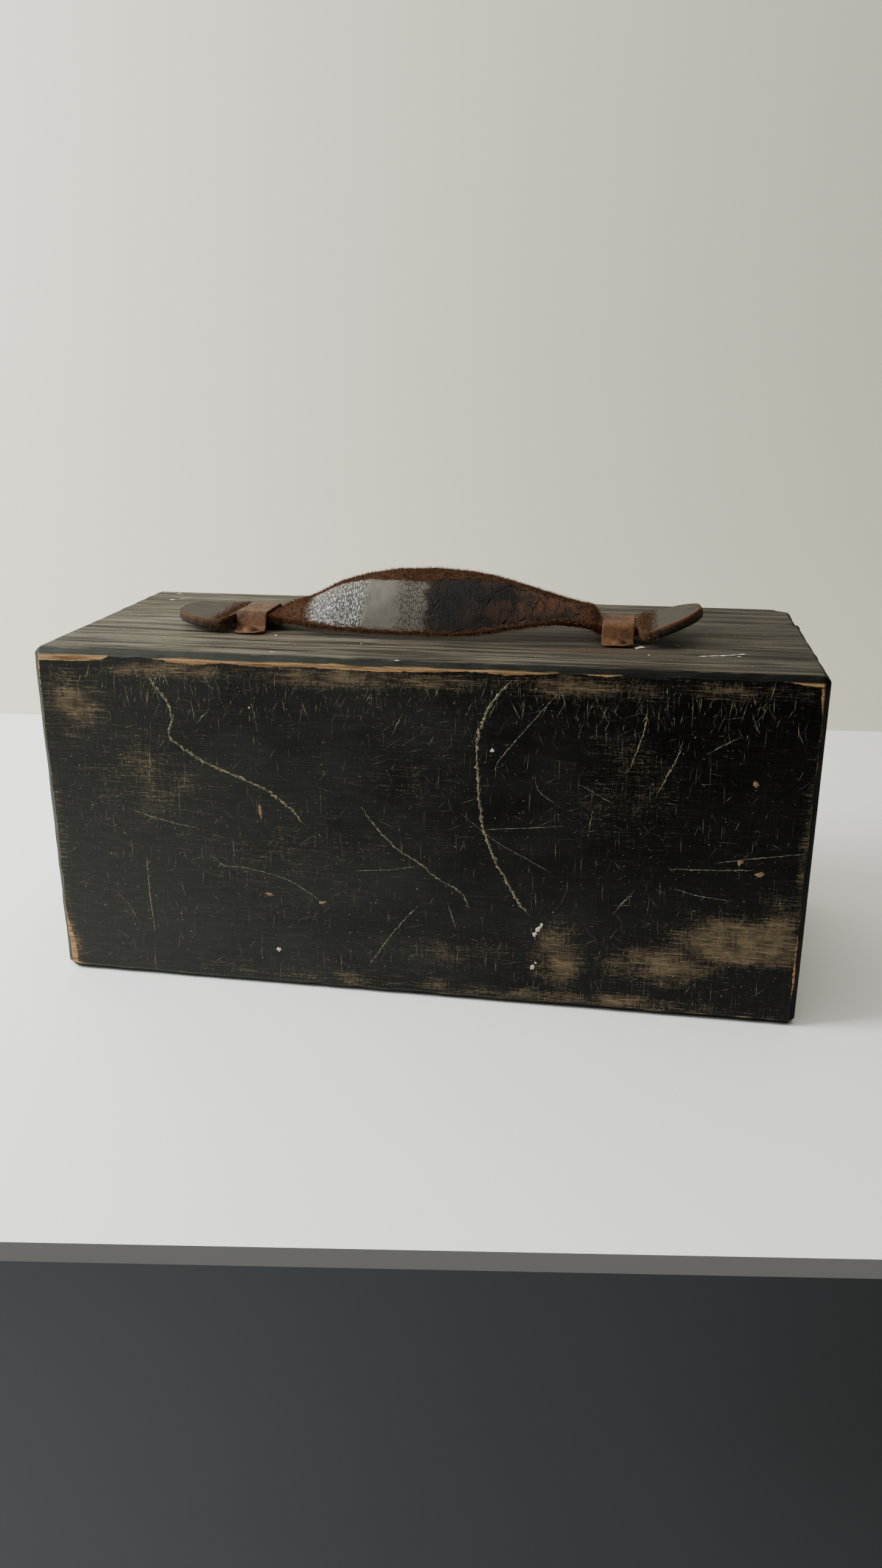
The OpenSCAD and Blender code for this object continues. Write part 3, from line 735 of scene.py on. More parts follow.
def creamPaint():
    s = Shade("creamPaint")
    grit = s.noise((0.7, 0.7, 0.7), 4, 0.7)
    colour = s.mix(s.spread(grit, 0.4, 0.65), rgb(206, 198, 176), rgb(140, 130, 108))
    return s.finish(colour, 0.7, s.bump(grit, 0.15, 0.6))


scratchPaint, fleckPaint = scratchMark(), creamPaint()

scratchSettings = {
    # half width, then x and z along each scratch on the front board
    "lines": [
        (0.65, (-105.5, 132.5), (-101.5, 127.5), (-97, 121), (-96, 113.5), (-97.5, 107.5),
         (-92, 102.5), (-82, 96.5), (-68, 91), (-57.5, 86), (-49.5, 80), (-43.5, 73)),
        (0.7, (38, 135.5), (31.5, 127.5), (28, 120.5), (25.5, 111.5), (25.5, 101), (26.5, 87),
         (28.5, 74.5), (32.5, 64), (38, 53.5), (43, 45), (47.5, 40)),
        (0.42, (-20.5, 82), (-14.5, 74), (-6.5, 65.5), (2.5, 60), (9.5, 54), (19.5, 48), (23, 41.5)),
        (0.3, (2, 41), (-7, 30), (-13.5, 20.5), (-19, 12)),
        (0.28, (100, 64), (114, 64.5), (132, 65.5)),
        (0.25, (116.5, 67.5), (132, 70.5), (149.5, 73.5)),
        (0.24, (-117.5, 75.5), (-103.5, 71.5), (-87.5, 68.5)),
        (0.3, (-106.5, 102.5), (-106.5, 94.5), (-108, 86.5)),
        (0.22, (32.5, 97), (33.5, 103.5), (43, 116), (55, 131)),
        (0.18, (19, 82), (33, 71), (47, 63.5), (55, 59)),
        (0.2, (27, 75.5), (47, 77.5), (59.5, 79)),
        (0.25, (63.5, 96.5), (71.5, 92.5), (78, 88.5)),
        (0.35, (102, 115.5), (99, 106), (93, 93)),
        (0.35, (88, 128.5), (87.5, 119), (82.5, 102)),
        (0.3, (-111.5, 55), (-111.5, 37), (-110.5, 20.5)),
        (0.22, (-83, 57), (-78, 53), (-68.5, 52.5), (-51.5, 48.5), (-37, 39.5)),
        (0.22, (-122.5, 35), (-116.5, 22.5)),
        (0.2, (-24, 54.5), (-9.5, 56), (3, 58.5)),
        (0.3, (14, 44), (17.5, 32)),
        (0.35, (-3.5, 120.5), (-8, 111.5)),
        (0.3, (70, 87), (68.5, 75.5)),
        (0.28, (87.5, 54.5), (79.5, 43.5)),
        (0.25, (102, 56), (111.5, 53.5), (124, 52.5)),
        (0.25, (110.5, 110.5), (122.5, 118)),
        (0.3, (104, 133), (104.5, 121)),
        (0.35, (-103.5, 125.5), (-98.5, 136.5)),
        (0.25, (47.5, 99), (49, 93), (56, 87.5)),
        (0.3, (-87.5, 123), (-86.5, 114)),
        (0.35, (-85.5, 113.5), (-80, 119.5)),
    ],
    "pointStep": 0.7,
    "jitter": 0.22,
    "flatness": 0.16,
    "frontThick": 0.07,
    "topThick": 0.2,
    "topSink": 0.22,
    # blobs of pale paint and chips on the front board: x, z, half width, half height, turn, pale
    "blobs": [
        (-61.7, 78, 0.7, 3.0, 4, 0), (-59.8, 41.6, 2.0, 0.9, -10, 0), (-56.8, 16.8, 1.0, 0.9, 0, 1),
        (50.5, 34.5, 1.0, 2.4, -35, 1), (49.2, 32.2, 0.9, 1.2, 20, 1), (51.8, 36.6, 0.6, 1.1, -20, 1),
        (48.7, 17.7, 0.9, 1.3, -30, 1), (49.8, 19.6, 0.4, 0.6, 0, 1),
        (126, 68.4, 1.1, 1.5, 5, 0), (133.5, 64, 1.8, 1.4, 12, 0), (129, 100, 1.2, 1.4, 10, 0),
        (31, 108, 0.9, 0.8, 0, 1), (-37.5, 39.5, 1.4, 0.8, 20, 0), (-64, 120.5, 0.5, 0.4, 0, 1),
    ],
    # blobs on the strap side, which all move with the case: x, y, half width, half height, turn
    "topBlobs": [
        (108.5, -38.6, 2.0, 0.35, 22), (112.5, -37.4, 2.4, 0.5, 16), (116.5, -36.4, 1.9, 0.6, 12),
        (119.8, -35.0, 1.8, 0.5, 25), (122.8, -33.2, 1.7, 0.7, 30), (121.6, -37.2, 0.7, 0.3, 0),
        (84.8, -26.3, 1.5, 1.2, 10), (83.4, -28.3, 1.2, 0.7, 40), (-138.2, 57.7, 1.2, 0.5, 30),
        (-131, 46, 2.6, 0.35, 35), (-135.6, 41.5, 1.0, 0.5, 0), (-63.4, -28, 0.5, 0.7, 0),
        (-25.2, -38.4, 0.35, 0.5, 0), (-56.2, -57.7, 0.6, 0.3, 0), (-5.5, -64.5, 1.0, 0.4, 5),
        (99, -22, 0.8, 0.3, 15), (88, -40, 0.5, 0.3, 0),
    ],
}


def faceDip(x, z, settings):
    # the front board's own surface at x and z, by the rules of shapeBoard
    points = np.column_stack([x, np.full(len(x), boardLow[1]), z])
    wave = valueNoise(points, settings["waveSize"], noiseSeeds["wave"])
    return boardLow[1] + settings["dip"] + settings["wave"] * wave


def smoothPath(stops, step):
    stops = np.array(stops, float)
    padded = np.vstack([2 * stops[0] - stops[1], stops, 2 * stops[-1] - stops[-2]])
    path = []
    for a, b, c, d in zip(padded, padded[1:], padded[2:], padded[3:]):
        count = max(2, int(np.linalg.norm(c - b) / step))
        t = np.linspace(0, 1, count, endpoint=False)[:, None]
        path.append(spline(a, b, c, d, t))
    return np.vstack(path + [stops[-1:]])


def scratchLines(settings):
    rng = np.random.default_rng(7)
    points, edges, widths, tones = [], [], [], []
    start = 0
    for half, *stops in settings["lines"]:
        path = smoothPath(stops, settings["pointStep"])
        path += rng.normal(0, settings["jitter"] * min(1, half * 2), path.shape)
        points.append(np.column_stack([path[:, 0], faceDip(*path.T, boardSettings), path[:, 1]]))
        ends = np.minimum(np.arange(len(path)), np.arange(len(path))[::-1]) / 6
        widths.append(half * np.clip(ends, 0.25, 1) * rng.uniform(0.45, 1.25, len(path)))
        tones.append(rng.uniform(0.35, 1.0, len(path)) * min(1, 0.55 + half * 0.6))
        edges += [(start + i, start + i + 1) for i in range(len(path) - 1)]
        start += len(path)
    mesh = bpy.data.meshes.new("scratchLines")
    mesh.from_pydata((np.vstack(points) * mm).tolist(), edges, [])
    for key, values in (("half", np.concatenate(widths) * mm), ("tone", np.concatenate(tones)),
                        ("lay", np.vstack(points)[:, 1] * mm)):
        mesh.attributes.new(key, "FLOAT", "POINT").data.foreach_set("value", values.astype(np.float32))
    source = bpy.data.objects.new("scratchLines", mesh)
    bpy.context.collection.objects.link(source)

    recipe = Recipe("scratchRecipe")
    flatness = recipe.ask("Flatness", settings["flatness"])
    curve = recipe.node("GeometryNodeMeshToCurve", {"Mesh": recipe.shape})
    ring = recipe.node("GeometryNodeCurvePrimitiveCircle", {"Resolution": 6, "Radius": 1.0})
    sweep = recipe.node("GeometryNodeCurveToMesh", {
        "Curve": curve.outputs["Curve"], "Profile Curve": ring.outputs["Curve"],
        "Scale": recipe.field("half"), "Fill Caps": True})
    place = recipe.node("GeometryNodeInputPosition").outputs[0]
    split = recipe.node("ShaderNodeSeparateXYZ", {"Vector": place})
    above = recipe.math("SUBTRACT", split.outputs["Y"], recipe.field("lay"))
    flat = recipe.plus(recipe.field("lay"), recipe.times(above, flatness))
    moved = recipe.node("GeometryNodeSetPosition", {
        "Geometry": sweep.outputs["Mesh"],
        "Position": recipe.combine(split.outputs["X"], flat, split.outputs["Z"])})
    recipe.finish(moved.outputs["Geometry"], scratchPaint)
    made = grow(source, recipe, "scratches_long")
    bpy.data.objects.remove(source)
    return made


strewSettings = {
    "hairs": {"on": "front_board", "field": "hair", "perSquareMm": 0.08, "length": (1.0, 9),
              "half": (0.04, 0.11), "lean": (-1.57, 1.57), "tone": (0.0, 0.7), "seed": 5},
    "ticks": {"on": "front_board", "field": "tick", "perSquareMm": 0.10, "length": (1.2, 10),
              "half": (0.05, 0.22), "lean": (-0.5, 0.5), "tone": (0.0, 0.75), "seed": 8},
    "uprights": {"on": "front_board", "field": "hair", "perSquareMm": 0.02, "length": (4, 12),
                 "half": (0.06, 0.16), "lean": (-0.06, 0.06), "tone": (0.0, 0.6), "seed": 9},
    "grit": {"on": "front_board", "field": "hair", "perSquareMm": 0.09, "length": (0.3, 1.0),
             "half": (0.12, 0.3), "lean": (-1.57, 1.57), "tone": (0.1, 1.0), "seed": 12},
    "specks": {"on": "top_rail", "field": "strew", "perSquareMm": 0.012, "length": (0.25, 0.8),
               "half": (0.1, 0.22), "lean": (-1.57, 1.57), "tone": (0.3, 1.0), "seed": 14},
}
sliverThick = 0.05


def strewMarks(name, spec, material):
    recipe = Recipe(name + "Recipe")
    strewn, seed = recipe.scatter(spec["field"], spec)
    lean = recipe.chance(*spec["lean"], seed)
    up = recipe.math("COSINE", lean)
    sideways = recipe.math("SINE", lean)
    upright = spec["on"] == "front_board"
    ahead = recipe.combine(sideways, 0.0, up) if upright else recipe.combine(sideways, up, 0.0)
    turn = recipe.node("FunctionNodeAlignRotationToVector", {
        "Rotation": strewn["Rotation"], "Vector": ahead}, axis="X", pivot_axis="Z")
    shortest, longest = (v * mm / 2 for v in spec["length"])
    length = recipe.math("POWER", recipe.chance(0, 1, 21), 2.0)
    length = recipe.plus(recipe.times(length, longest - shortest), shortest)
    half = recipe.chance(*(v * mm for v in spec["half"]), 22)
    sliver = recipe.node("GeometryNodeMeshUVSphere", {"Segments": 4, "Rings": 2, "Radius": 1.0})
    recipe.plant(strewn["Points"], sliver.outputs["Mesh"], turn.outputs[0],
                 recipe.combine(length, half, sliverThick * mm), recipe.chance(*spec["tone"], 23),
                 material)
    return grow(boards[spec["on"]], recipe, "marks_" + name)


def blobFaces(centre, flatAxes, half, turn, rng, thick):
    # a flat blob with a round edge: a top point, a ring around it, a wider ring lower down
    # and a point underneath
    count = 14
    angle = np.linspace(0, 2 * math.pi, count, endpoint=False)
    wobble = 1 + 0.28 * rng.normal(size=count)
    u = np.cos(angle) * half[0] * wobble
    v = np.sin(angle) * half[1] * wobble
    c, w = math.cos(math.radians(turn)), math.sin(math.radians(turn))
    a, b, up = flatAxes
    rim = centre + np.outer(u * c - v * w, a) + np.outer(u * w + v * c, b)
    points = [centre + thick * up, *(centre + 0.75 * (rim - centre) + 0.8 * thick * up),
              *(rim - 0.05 * up), centre - 0.05 * up]
    faces = []
    for k in range(count):
        n = (k + 1) % count
        faces += [(0, 1 + k, 1 + n), (1 + k, 1 + count + k, 1 + count + n, 1 + n),
                  (1 + count + k, 2 * count + 1, 1 + count + n)]
    return points, faces


def makeBlobs(name, specs, material):
    rng = np.random.default_rng(31)
    points, faces = [], []
    for centre, axes, half, turn, thick in specs:
        spots, loops = blobFaces(centre, axes, half, turn, rng, thick)
        faces += [tuple(i + len(points) for i in f) for f in loops]
        points += list(spots)
    made = makePiece(name, np.array(points), faces, material)
    faceOutward(made)
    return made


def makeMarks(settings):
    axisX, axisY, axisZ = np.eye(3)
    frontAxes, topAxes = (axisX, axisZ, -axisY), (axisX, axisY, axisZ)
    pale, bare, onTop = [], [], []
    for x, z, wide, tall, turn, isPale in settings["blobs"]:
        y = faceDip(np.array([x]), np.array([z]), boardSettings)[0]
        spot = (np.array((x, y, z)), frontAxes, (wide, tall), turn, settings["frontThick"])
        (pale if isPale else bare).append(spot)
    for x, y, wide, tall, turn in settings["topBlobs"]:
        centre = np.array((x, y, topZ - settings["topSink"]))
        onTop.append((centre, topAxes, (wide, tall), turn, settings["topThick"]))
    pieces = [scratchLines(settings), makeBlobs("paint_flecks_front", pale, fleckPaint),
              makeBlobs("chips_front", bare, chipWood()),
              makeBlobs("paint_flecks_top", onTop, fleckPaint)]
    for name, spec in strewSettings.items():
        pieces.append(strewMarks(name, spec, fleckPaint if name == "specks" else scratchPaint))
    for piece in pieces:
        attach(piece, "case")
        print(piece.name, len(piece.data.polygons), "faces")


def chipWood():
    s = Shade("chipWood")
    grain = s.noise((6, 6, 0.7), 4, 0.65)
    colour = s.mix(s.spread(grain, 0.35, 0.65), rgb(96, 72, 48), rgb(136, 106, 72))
    return s.finish(colour, 0.8, s.bump(grain, 0.2, 0.5))


makeMarks(scratchSettings)
print("scratches and flecks made")


# Leather strap


strapSettings = {
    # x, then y and height over the case of the outer side at the back edge,
    # at the point that its curl leans towards, and at the front edge
    "rows": [
        (-84, -1, 6.6, -10.5, 6.6, -20, 6.6), (-68, -1, 6.6, -10.5, 6.6, -20, 6.6),
        (-61, -1.5, 9, -10.5, 12, -21, 5.8), (-50, -1.5, 11.5, -14, 19, -25, 4.2),
        (-40, -2, 15, -17, 27.5, -27.5, 3.4), (-29, -2.5, 17.5, -19, 33.5, -29, 2.8),
        (-15, -3, 19.5, -21, 37.5, -29.8, 2.5), (0, -3, 20, -21, 38.5, -30, 2.5),
        (12, -3, 19.5, -21, 38, -30, 2.8), (22, -3, 18.5, -20.5, 35.5, -29.5, 3.6),
        (34, -2.5, 16, -19, 30.5, -28, 5.8), (47, -2, 13, -17, 24, -26, 8),
        (59, -1.5, 11, -13.5, 18, -23, 8), (65, -1.2, 10, -12, 15.5, -22, 7.2),
        (68, -1, 6.6, -10.5, 6.6, -20, 6.6), (84, -1, 6.6, -10.5, 6.6, -20, 6.6),
    ],
    "thickness": 3.8,
    "ringStep": 0.8,
    "acrossCount": 30,
    "cornerSteps": 5,
    "cornerRadius": 1.1,
    "tongueStart": 83.5,
    "neckHalf": 9.5,
    "tongueHalf": 19.5,
    "tongueDrop": 6,
    "tipRound": 1.4,
    "tongueShoulder": 7,
    "tongueZ": 1.4,
    "tongueRise": {-1: 5, 1: 20},
    "shoulderLength": 4,
    "blend": (68, 50),
    "lump": 0.5,
    "lumpSize": (7, 6, 5),
    "lumpGrain": 2.2,
    # where the leather lies smooth in its clips, from the middle outwards
    "inClip": ((64, 68), (83, 86)),
    # where loose fibres stand out: x of the left neck and the right end, and both round ends
    "gripHalf": 68,
    "fuzzyNeck": ((-69, -66), (-53, -49)),
    "fuzzyEnd": ((58, 63), (67, 68)),
    "fuzzyShoulder": ((84, 85), (88, 92)),
    # how wide the rubbed ridge is, and how much wider around the middle: x, reach, extra
    "ridgeWorn": 2.8,
    "ridgeWide": (-4, 24, 5.5),
    "edgeWorn": 1.4,
}


def strapRow(x, rows):
    i = min(max(int(np.searchsorted(rows[:, 0], x, side="right")) - 1, 0), len(rows) - 2)
    a, b = rows[max(i - 1, 0)], rows[i]
    c, d = rows[i + 1], rows[min(i + 2, len(rows) - 1)]
    return spline(a, b, c, d, (x - b[0]) / (c[0] - b[0]))


def barOutline(half, thick, radius, settings):
    # round-cornered bar: how far across from -1 to 1 and how deep from 0, outside, to thick
    radius = min(radius, half * 0.9, thick * 0.49)
    flat = np.linspace(-1, 1, settings["acrossCount"]) * (half - radius)
    turn = np.linspace(0, math.pi / 2, settings["cornerSteps"] + 1)[1:-1]
    across, deep = [flat], [np.zeros(len(flat))]
    for part in (turn, turn + math.pi / 2):
        rim = thick - radius if part[0] > math.pi / 2 else radius
        across.append(half - radius + radius * np.sin(part))
        deep.append(rim - radius * np.cos(part))
    across.append(flat[::-1])
    deep.append(np.full(len(flat), thick))
    for part in (turn[::-1] + math.pi / 2, turn[::-1]):
        rim = thick - radius if part[0] > math.pi / 2 else radius
        across.append(-(half - radius) - radius * np.sin(part))
        deep.append(rim - radius * np.cos(part))
    return np.concatenate(across), np.concatenate(deep)


def gripRing(x, settings, rows):
    row = strapRow(x, rows)
    ends = [np.array([row[1 + 2 * k], row[2 + 2 * k]]) for k in range(3)]
    t = np.linspace(0, 1, 60)[:, None]
    line = (1 - t) ** 2 * ends[0] + 2 * t * (1 - t) * ends[1] + t ** 2 * ends[2]
    walk = lengthsAlong(line)
    half = walk[-1] / 2
    across, deep = barOutline(half, settings["thickness"], settings["cornerRadius"], settings)
    u = np.interp(across + half, walk, t[:, 0])[:, None]
    place = (1 - u) ** 2 * ends[0] + 2 * u * (1 - u) * ends[1] + u ** 2 * ends[2]
    slope = (1 - u) * (ends[1] - ends[0]) + u * (ends[2] - ends[1])
    normal = unit(np.stack([slope[:, 1], -slope[:, 0]], 1))
    place = place - deep[:, None] * normal
    ring = np.column_stack([np.full(len(place), x), place[:, 0], topZ + place[:, 1]])
    ridge = walk[np.argmax(line[:, 1])] - half
    arch = smoothStep(np.array(line[:, 1].max()), 9, 13)
    spot, reach, extra = settings["ridgeWide"]
    ridge += settings["ridgeWorn"] + extra * math.exp(-((x - spot) / reach) ** 2)
    ridge = arch * ridge + (1 - arch) * (1.2 - half)
    worn = np.maximum(ridge - across, across - (half - settings["edgeWorn"]))
    return ring, np.column_stack([np.full(len(across), x), across, deep, worn])


def tongueRing(side, along, settings):
    # along runs from where the strap leaves its clip to the tip
    half0, half1 = settings["neckHalf"], settings["tongueHalf"]
    part = min(along / settings["shoulderLength"], 1)
    half = half0 + (half1 - half0) * math.sqrt(max(0, 1 - (1 - part) ** 2))
    beyond = max(0, along - settings["tongueShoulder"])
    half = min(half, math.sqrt(max(0.0025, half1 ** 2 - beyond ** 2)))
    left = settings["tongueShoulder"] + half1 - along
    fromTip = min(left / settings["tipRound"], 1)
    thick = settings["thickness"] * math.sqrt(max(0.0025, 1 - (1 - fromTip) ** 2))
    across, deep = barOutline(half, thick, settings["cornerRadius"], settings)
    rise = math.radians(settings["tongueRise"][side])
    drop = smoothStep(np.array(along), 0, settings["tongueDrop"])
    inClip = settings["rows"][0][2]
    low = (1 - drop) * (inClip - settings["thickness"]) + drop * settings["tongueZ"]
    middle = low + along * math.sin(rise) + settings["thickness"] / 2
    lift = thick / 2 - deep
    x = side * (settings["tongueStart"] + along * math.cos(rise) - lift * math.sin(rise))
    z = topZ + middle + lift * math.cos(rise)
    ring = np.column_stack([x, clipY - across, z])
    flatX = np.full(len(across), side * (settings["tongueStart"] + along))
    worn = np.maximum(np.abs(across) - half, -left) + settings["edgeWorn"]
    return ring, np.column_stack([flatX, across, deep + (settings["thickness"] - thick) / 2, worn])


def strapHalf(side, settings):
    rows = np.array(settings["rows"], float)
    start = settings["tongueStart"]
    length = settings["tongueShoulder"] + settings["tongueHalf"]
    rings, skins = [], []
    for x in np.linspace(0, start - 0.3, round(start / settings["ringStep"])):
        ring, skin = gripRing(side * x, settings, rows)
        rings.append(ring)
        skins.append(skin)
    turn = np.linspace(0, math.pi / 2, 22)[1:]
    alongs = [0.3, 0.7, 1.2, 1.8, 2.5, 3.3, 4.2, 5.2, *np.arange(6.2, settings["tongueShoulder"], 1)]
    alongs += [settings["tongueShoulder"] + settings["tongueHalf"] * math.sin(a) for a in turn[:-1]]
    alongs += [length - 0.02]
    for along in alongs:
        ring, skin = tongueRing(side, along, settings)
        rings.append(ring)
        skins.append(skin)
    return np.array(rings), np.array(skins)


def loftFaces(rings, count):
    order = np.arange(rings * count).reshape(rings, count)
    after = np.roll(order, -1, axis=1)
    walls = np.stack([order[:-1], after[:-1], after[1:], order[1:]], -1).reshape(-1, 4)
    return walls, order[0], order[-1]


def fuzzField(skin, settings):
    along = skin[:, 0]
    edge = smoothStep(skin[:, 3], -0.6, 0.6)
    neck, end = between(along, *settings["fuzzyNeck"]), between(along, *settings["fuzzyEnd"])
    shoulder = between(np.abs(along), *settings["fuzzyShoulder"])
    onGrip = np.abs(along) < settings["gripHalf"]
    return np.maximum(onGrip * np.maximum(edge, np.maximum(neck, end)), 0.8 * shoulder)


def bendWithStrap(piece):
    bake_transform(piece)


def makeStrapHalf(side, settings, material):
    rings, skins = strapHalf(side, settings)
    count = rings.shape[1]
    walls, first, last = loftFaces(len(rings), count)
    points, skin = rings.reshape(-1, 3), skins.reshape(-1, 4)
    inClip = between(np.abs(points[:, 0]), *settings["inClip"])
    lump = valueNoise(skin[:, :3], settings["lumpSize"], noiseSeeds["lump"])
    lump += 0.5 * valueNoise(skin[:, :3], settings["lumpGrain"], noiseSeeds["lumpGrain"]) - 0.75
    middle = rings.mean(axis=1, keepdims=True)
    outward = unit((rings - middle).reshape(-1, 3))
    points = points + outward * (settings["lump"] * lump * (1 - inClip))[:, None]
    faces = [list(f) for f in walls] + [list(first[::-1]), list(last)]
    if side < 0:
        faces = [f[::-1] for f in faces]
    word = "left" if side < 0 else "right"
    # worn is how many millimetres a point lies inside the rubbed strip along an edge or the ridge
    fields = {"deep": skin[:, 2] / settings["thickness"], "worn": skin[:, 3],
              "fuzz": fuzzField(skin, settings)}
    piece = makePiece("leather_" + word, points, faces, material, fields)
    layer = piece.data.uv_layers.new(name="skin")
    corner = np.zeros(len(piece.data.loops), dtype=np.int32)
    piece.data.loops.foreach_get("vertex_index", corner)
    layer.data.foreach_set("uv", (skin[corner][:, :2] * mm).astype(np.float32).ravel())
    faceOutward(piece)
    bendWithStrap(piece)
    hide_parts("strap_end_" + word, "strap_neck_" + word, *(["strap_grip"] if side < 0 else []))
    return piece


leatherSettings = {
    "brown": rgb(96, 64, 38),
    "brownDark": rgb(42, 25, 14),
    "rust": rgb(84, 46, 23),
    "dark": rgb(13, 10, 7),
    "darkWarm": rgb(30, 21, 13),
    # the grey and the silver flakes on the left of the grip are partly the cracked finish and partly
    # painted reflection of the light from the left
    "greyAndPaintedReflection": rgb(92, 89, 77),
    "silverPaintedGlint": rgb(206, 208, 210),
    "tongue": rgb(62, 57, 47),
    "crack": rgb(16, 11, 8),
    # where the finish changes along the strap, in metres from its middle
    "patch": (-0.052, -0.027),
    "cracked": -0.012,
    "darkStart": -0.001,
    "darkEnd": 0.061,
    "soft": 0.002,
    "cracksDeepen": (0.012, 0.034),
    "rusty": (0.012, 0.050),
    "tongueLeft": (-0.0850, -0.0835),
    "tongueRight": (0.0855, 0.088),
}


def crackedLeather(settings):
    s = Shade("crackedLeather", onSkin=True)
    along = s.axis("X")
    deep, worn = s.attribute("deep"), s.attribute("worn")
    warp = s.noise((7, 4, 7), 4, 0.65, shift=1)
    edge = s.plus(along, s.times(s.math("SUBTRACT", warp, 0.5), 0.010))
    patchStart, patchEnd = settings["patch"]

    def zone(low, high):
        return s.times(s.spread(edge, low - settings["soft"], low + settings["soft"]),
                       s.spread(edge, high - settings["soft"], high + settings["soft"], 1, 0))

    fibre = s.noise((2.4, 0.6, 1), 5, 0.75, shift=2)
    cloud = s.noise((12, 9, 10), 4, 0.6, shift=3)
    suede = s.mix(s.spread(fibre, 0.32, 0.68), settings["brownDark"], settings["brown"])
    suede = s.over(suede, settings["rust"], cloud, 0.42, 0.72, 0.6)

    # upright wavy cracks, and the fine net of cracks between them
    wide = s.cells(s.bent((2.7, 13, 1), (5, 7, 5), 1.5), 0.95)
    fineCells = s.cells(s.bent((0.8, 2.3, 1), (2, 3, 5), 0.5))
    wideCrack = s.times(s.spread(wide, 0.008, 0.055, 1, 0),
                        s.spread(along, *settings["cracksDeepen"], 0.35, 1))
    fineCrack = s.spread(fineCells, 0.02, 0.14, 1, 0)

    patch = zone(patchStart, patchEnd)
    # painted reflection: the left half of the grip is laid over in lighter grey
    paintedReflectionZone = zone(patchStart, settings["darkStart"])
    net = s.math("MAXIMUM", patch, zone(settings["cracked"], settings["darkStart"] + 0.004))
    darkZone = zone(settings["darkStart"], settings["darkEnd"])
    tongues = s.math("MAXIMUM", s.spread(along, *settings["tongueLeft"], 1, 0),
                     s.spread(along, *settings["tongueRight"]))
    dust = s.noise((3, 3, 3), 4, 0.65, shift=4)
    greyAndPaintedReflection = s.mix(s.spread(dust, 0.3, 0.7), rgb(84, 80, 70), settings["greyAndPaintedReflection"])
    dark = s.mix(s.spread(cloud, 0.38, 0.66), settings["dark"], settings["darkWarm"])
    streaks = s.noise((16, 1.2, 4), 4, 0.7, shift=6)
    tongue = s.mix(s.spread(streaks, 0.35, 0.65), rgb(44, 38, 30), settings["tongue"])
    skin = s.mix(paintedReflectionZone, suede, greyAndPaintedReflection)
    skin = s.mix(darkZone, skin, dark)
    rusty = s.times(s.spread(along, *settings["rusty"]), s.spread(cloud, 0.36, 0.60))
    skin = s.mix(s.times(rusty, s.spread(tongues, 0, 1, 0.9, 0)), skin, suede)
    skin = s.mix(tongues, skin, tongue)
    # painted highlight: silver flakes as bright glints on the cracked finish in the patch
    flake = s.spread(s.noise((0.6, 1.8, 1), 4, 0.75, shift=5), 0.48, 0.60)
    silverPaintedGlint = s.times(s.times(flake, s.spread(fineCrack, 0.1, 0.7, 1, 0)), patch)
    skin = s.mix(s.times(silverPaintedGlint, 0.85), skin, settings["silverPaintedGlint"])
    netDark = s.times(s.times(fineCrack, net), 0.75)
    skin = s.mix(netDark, skin, rgb(44, 36, 30))
    cracked = s.times(wideCrack, darkZone)
    skin = s.mix(s.times(cracked, 0.9), skin, settings["crack"])

    ragged = s.plus(worn, s.times(s.math("SUBTRACT", warp, 0.5), 5.0))
    bare = s.math("MAXIMUM", s.spread(deep, 0.18, 0.35), s.spread(ragged, -0.35, 0.45))
    # the round ends have a dark, smooth cut edge
    cut = s.mix(tongues, suede, s.mix(s.spread(fibre, 0.3, 0.7), rgb(34, 29, 24), rgb(62, 50, 38)))
    colour = s.mix(bare, skin, s.mix(s.spread(deep, 0.18, 0.4), suede, cut))
    rough = s.math("SUBTRACT", 0.80, s.times(paintedReflectionZone, 0.22))
    rough = s.math("SUBTRACT", rough, s.times(patch, 0.22))
    rough = s.math("MAXIMUM", rough, s.times(bare, 0.92))
    height = s.times(fibre, s.spread(bare, 0, 1, 0.25, 1.2))
    height = s.math("SUBTRACT", height, s.times(cracked, 1.2))
    height = s.math("SUBTRACT", height, s.times(netDark, 0.7))
    return s.finish(colour, rough, s.bump(height, 0.7, 0.9), Specular_IOR_Level=0.25)


fuzzSettings = {"perSquareMm": 8, "length": (0.4, 1.9), "half": 0.07, "spread": 1.3, "seed": 3}


def looseFibre():
    s = Shade("looseFibre")
    colour = s.mix(s.attribute("tone"), rgb(50, 29, 15), rgb(124, 82, 46))
    return s.finish(colour, 0.95)


def growFuzz(half, side, settings, material):
    recipe = Recipe("fuzzRecipe")
    strewn = recipe.scatter("fuzz", settings)[0]
    lean = [recipe.chance(-settings["spread"], settings["spread"], 31 + k) for k in range(3)]
    way = recipe.node("ShaderNodeVectorMath", operation="ADD")
    recipe.feed(way.inputs[0], strewn["Normal"])
    recipe.feed(way.inputs[1], recipe.combine(*lean))
    turn = recipe.node("FunctionNodeAlignRotationToVector", {"Vector": way.outputs[0]}, axis="Z")
    fibre = recipe.node("GeometryNodeMeshCone", {
        "Vertices": 3, "Radius Top": 0.0, "Radius Bottom": settings["half"] * mm, "Depth": mm})
    length = recipe.chance(*settings["length"], 35)
    recipe.plant(strewn["Points"], fibre.outputs["Mesh"], turn.outputs[0],
                 recipe.combine(1.0, 1.0, length), recipe.chance(0, 1, 36), material)
    made = grow(half, recipe, "fuzz_left" if side < 0 else "fuzz_right")
    bendWithStrap(made)
    print(made.name, len(made.data.polygons), "faces")


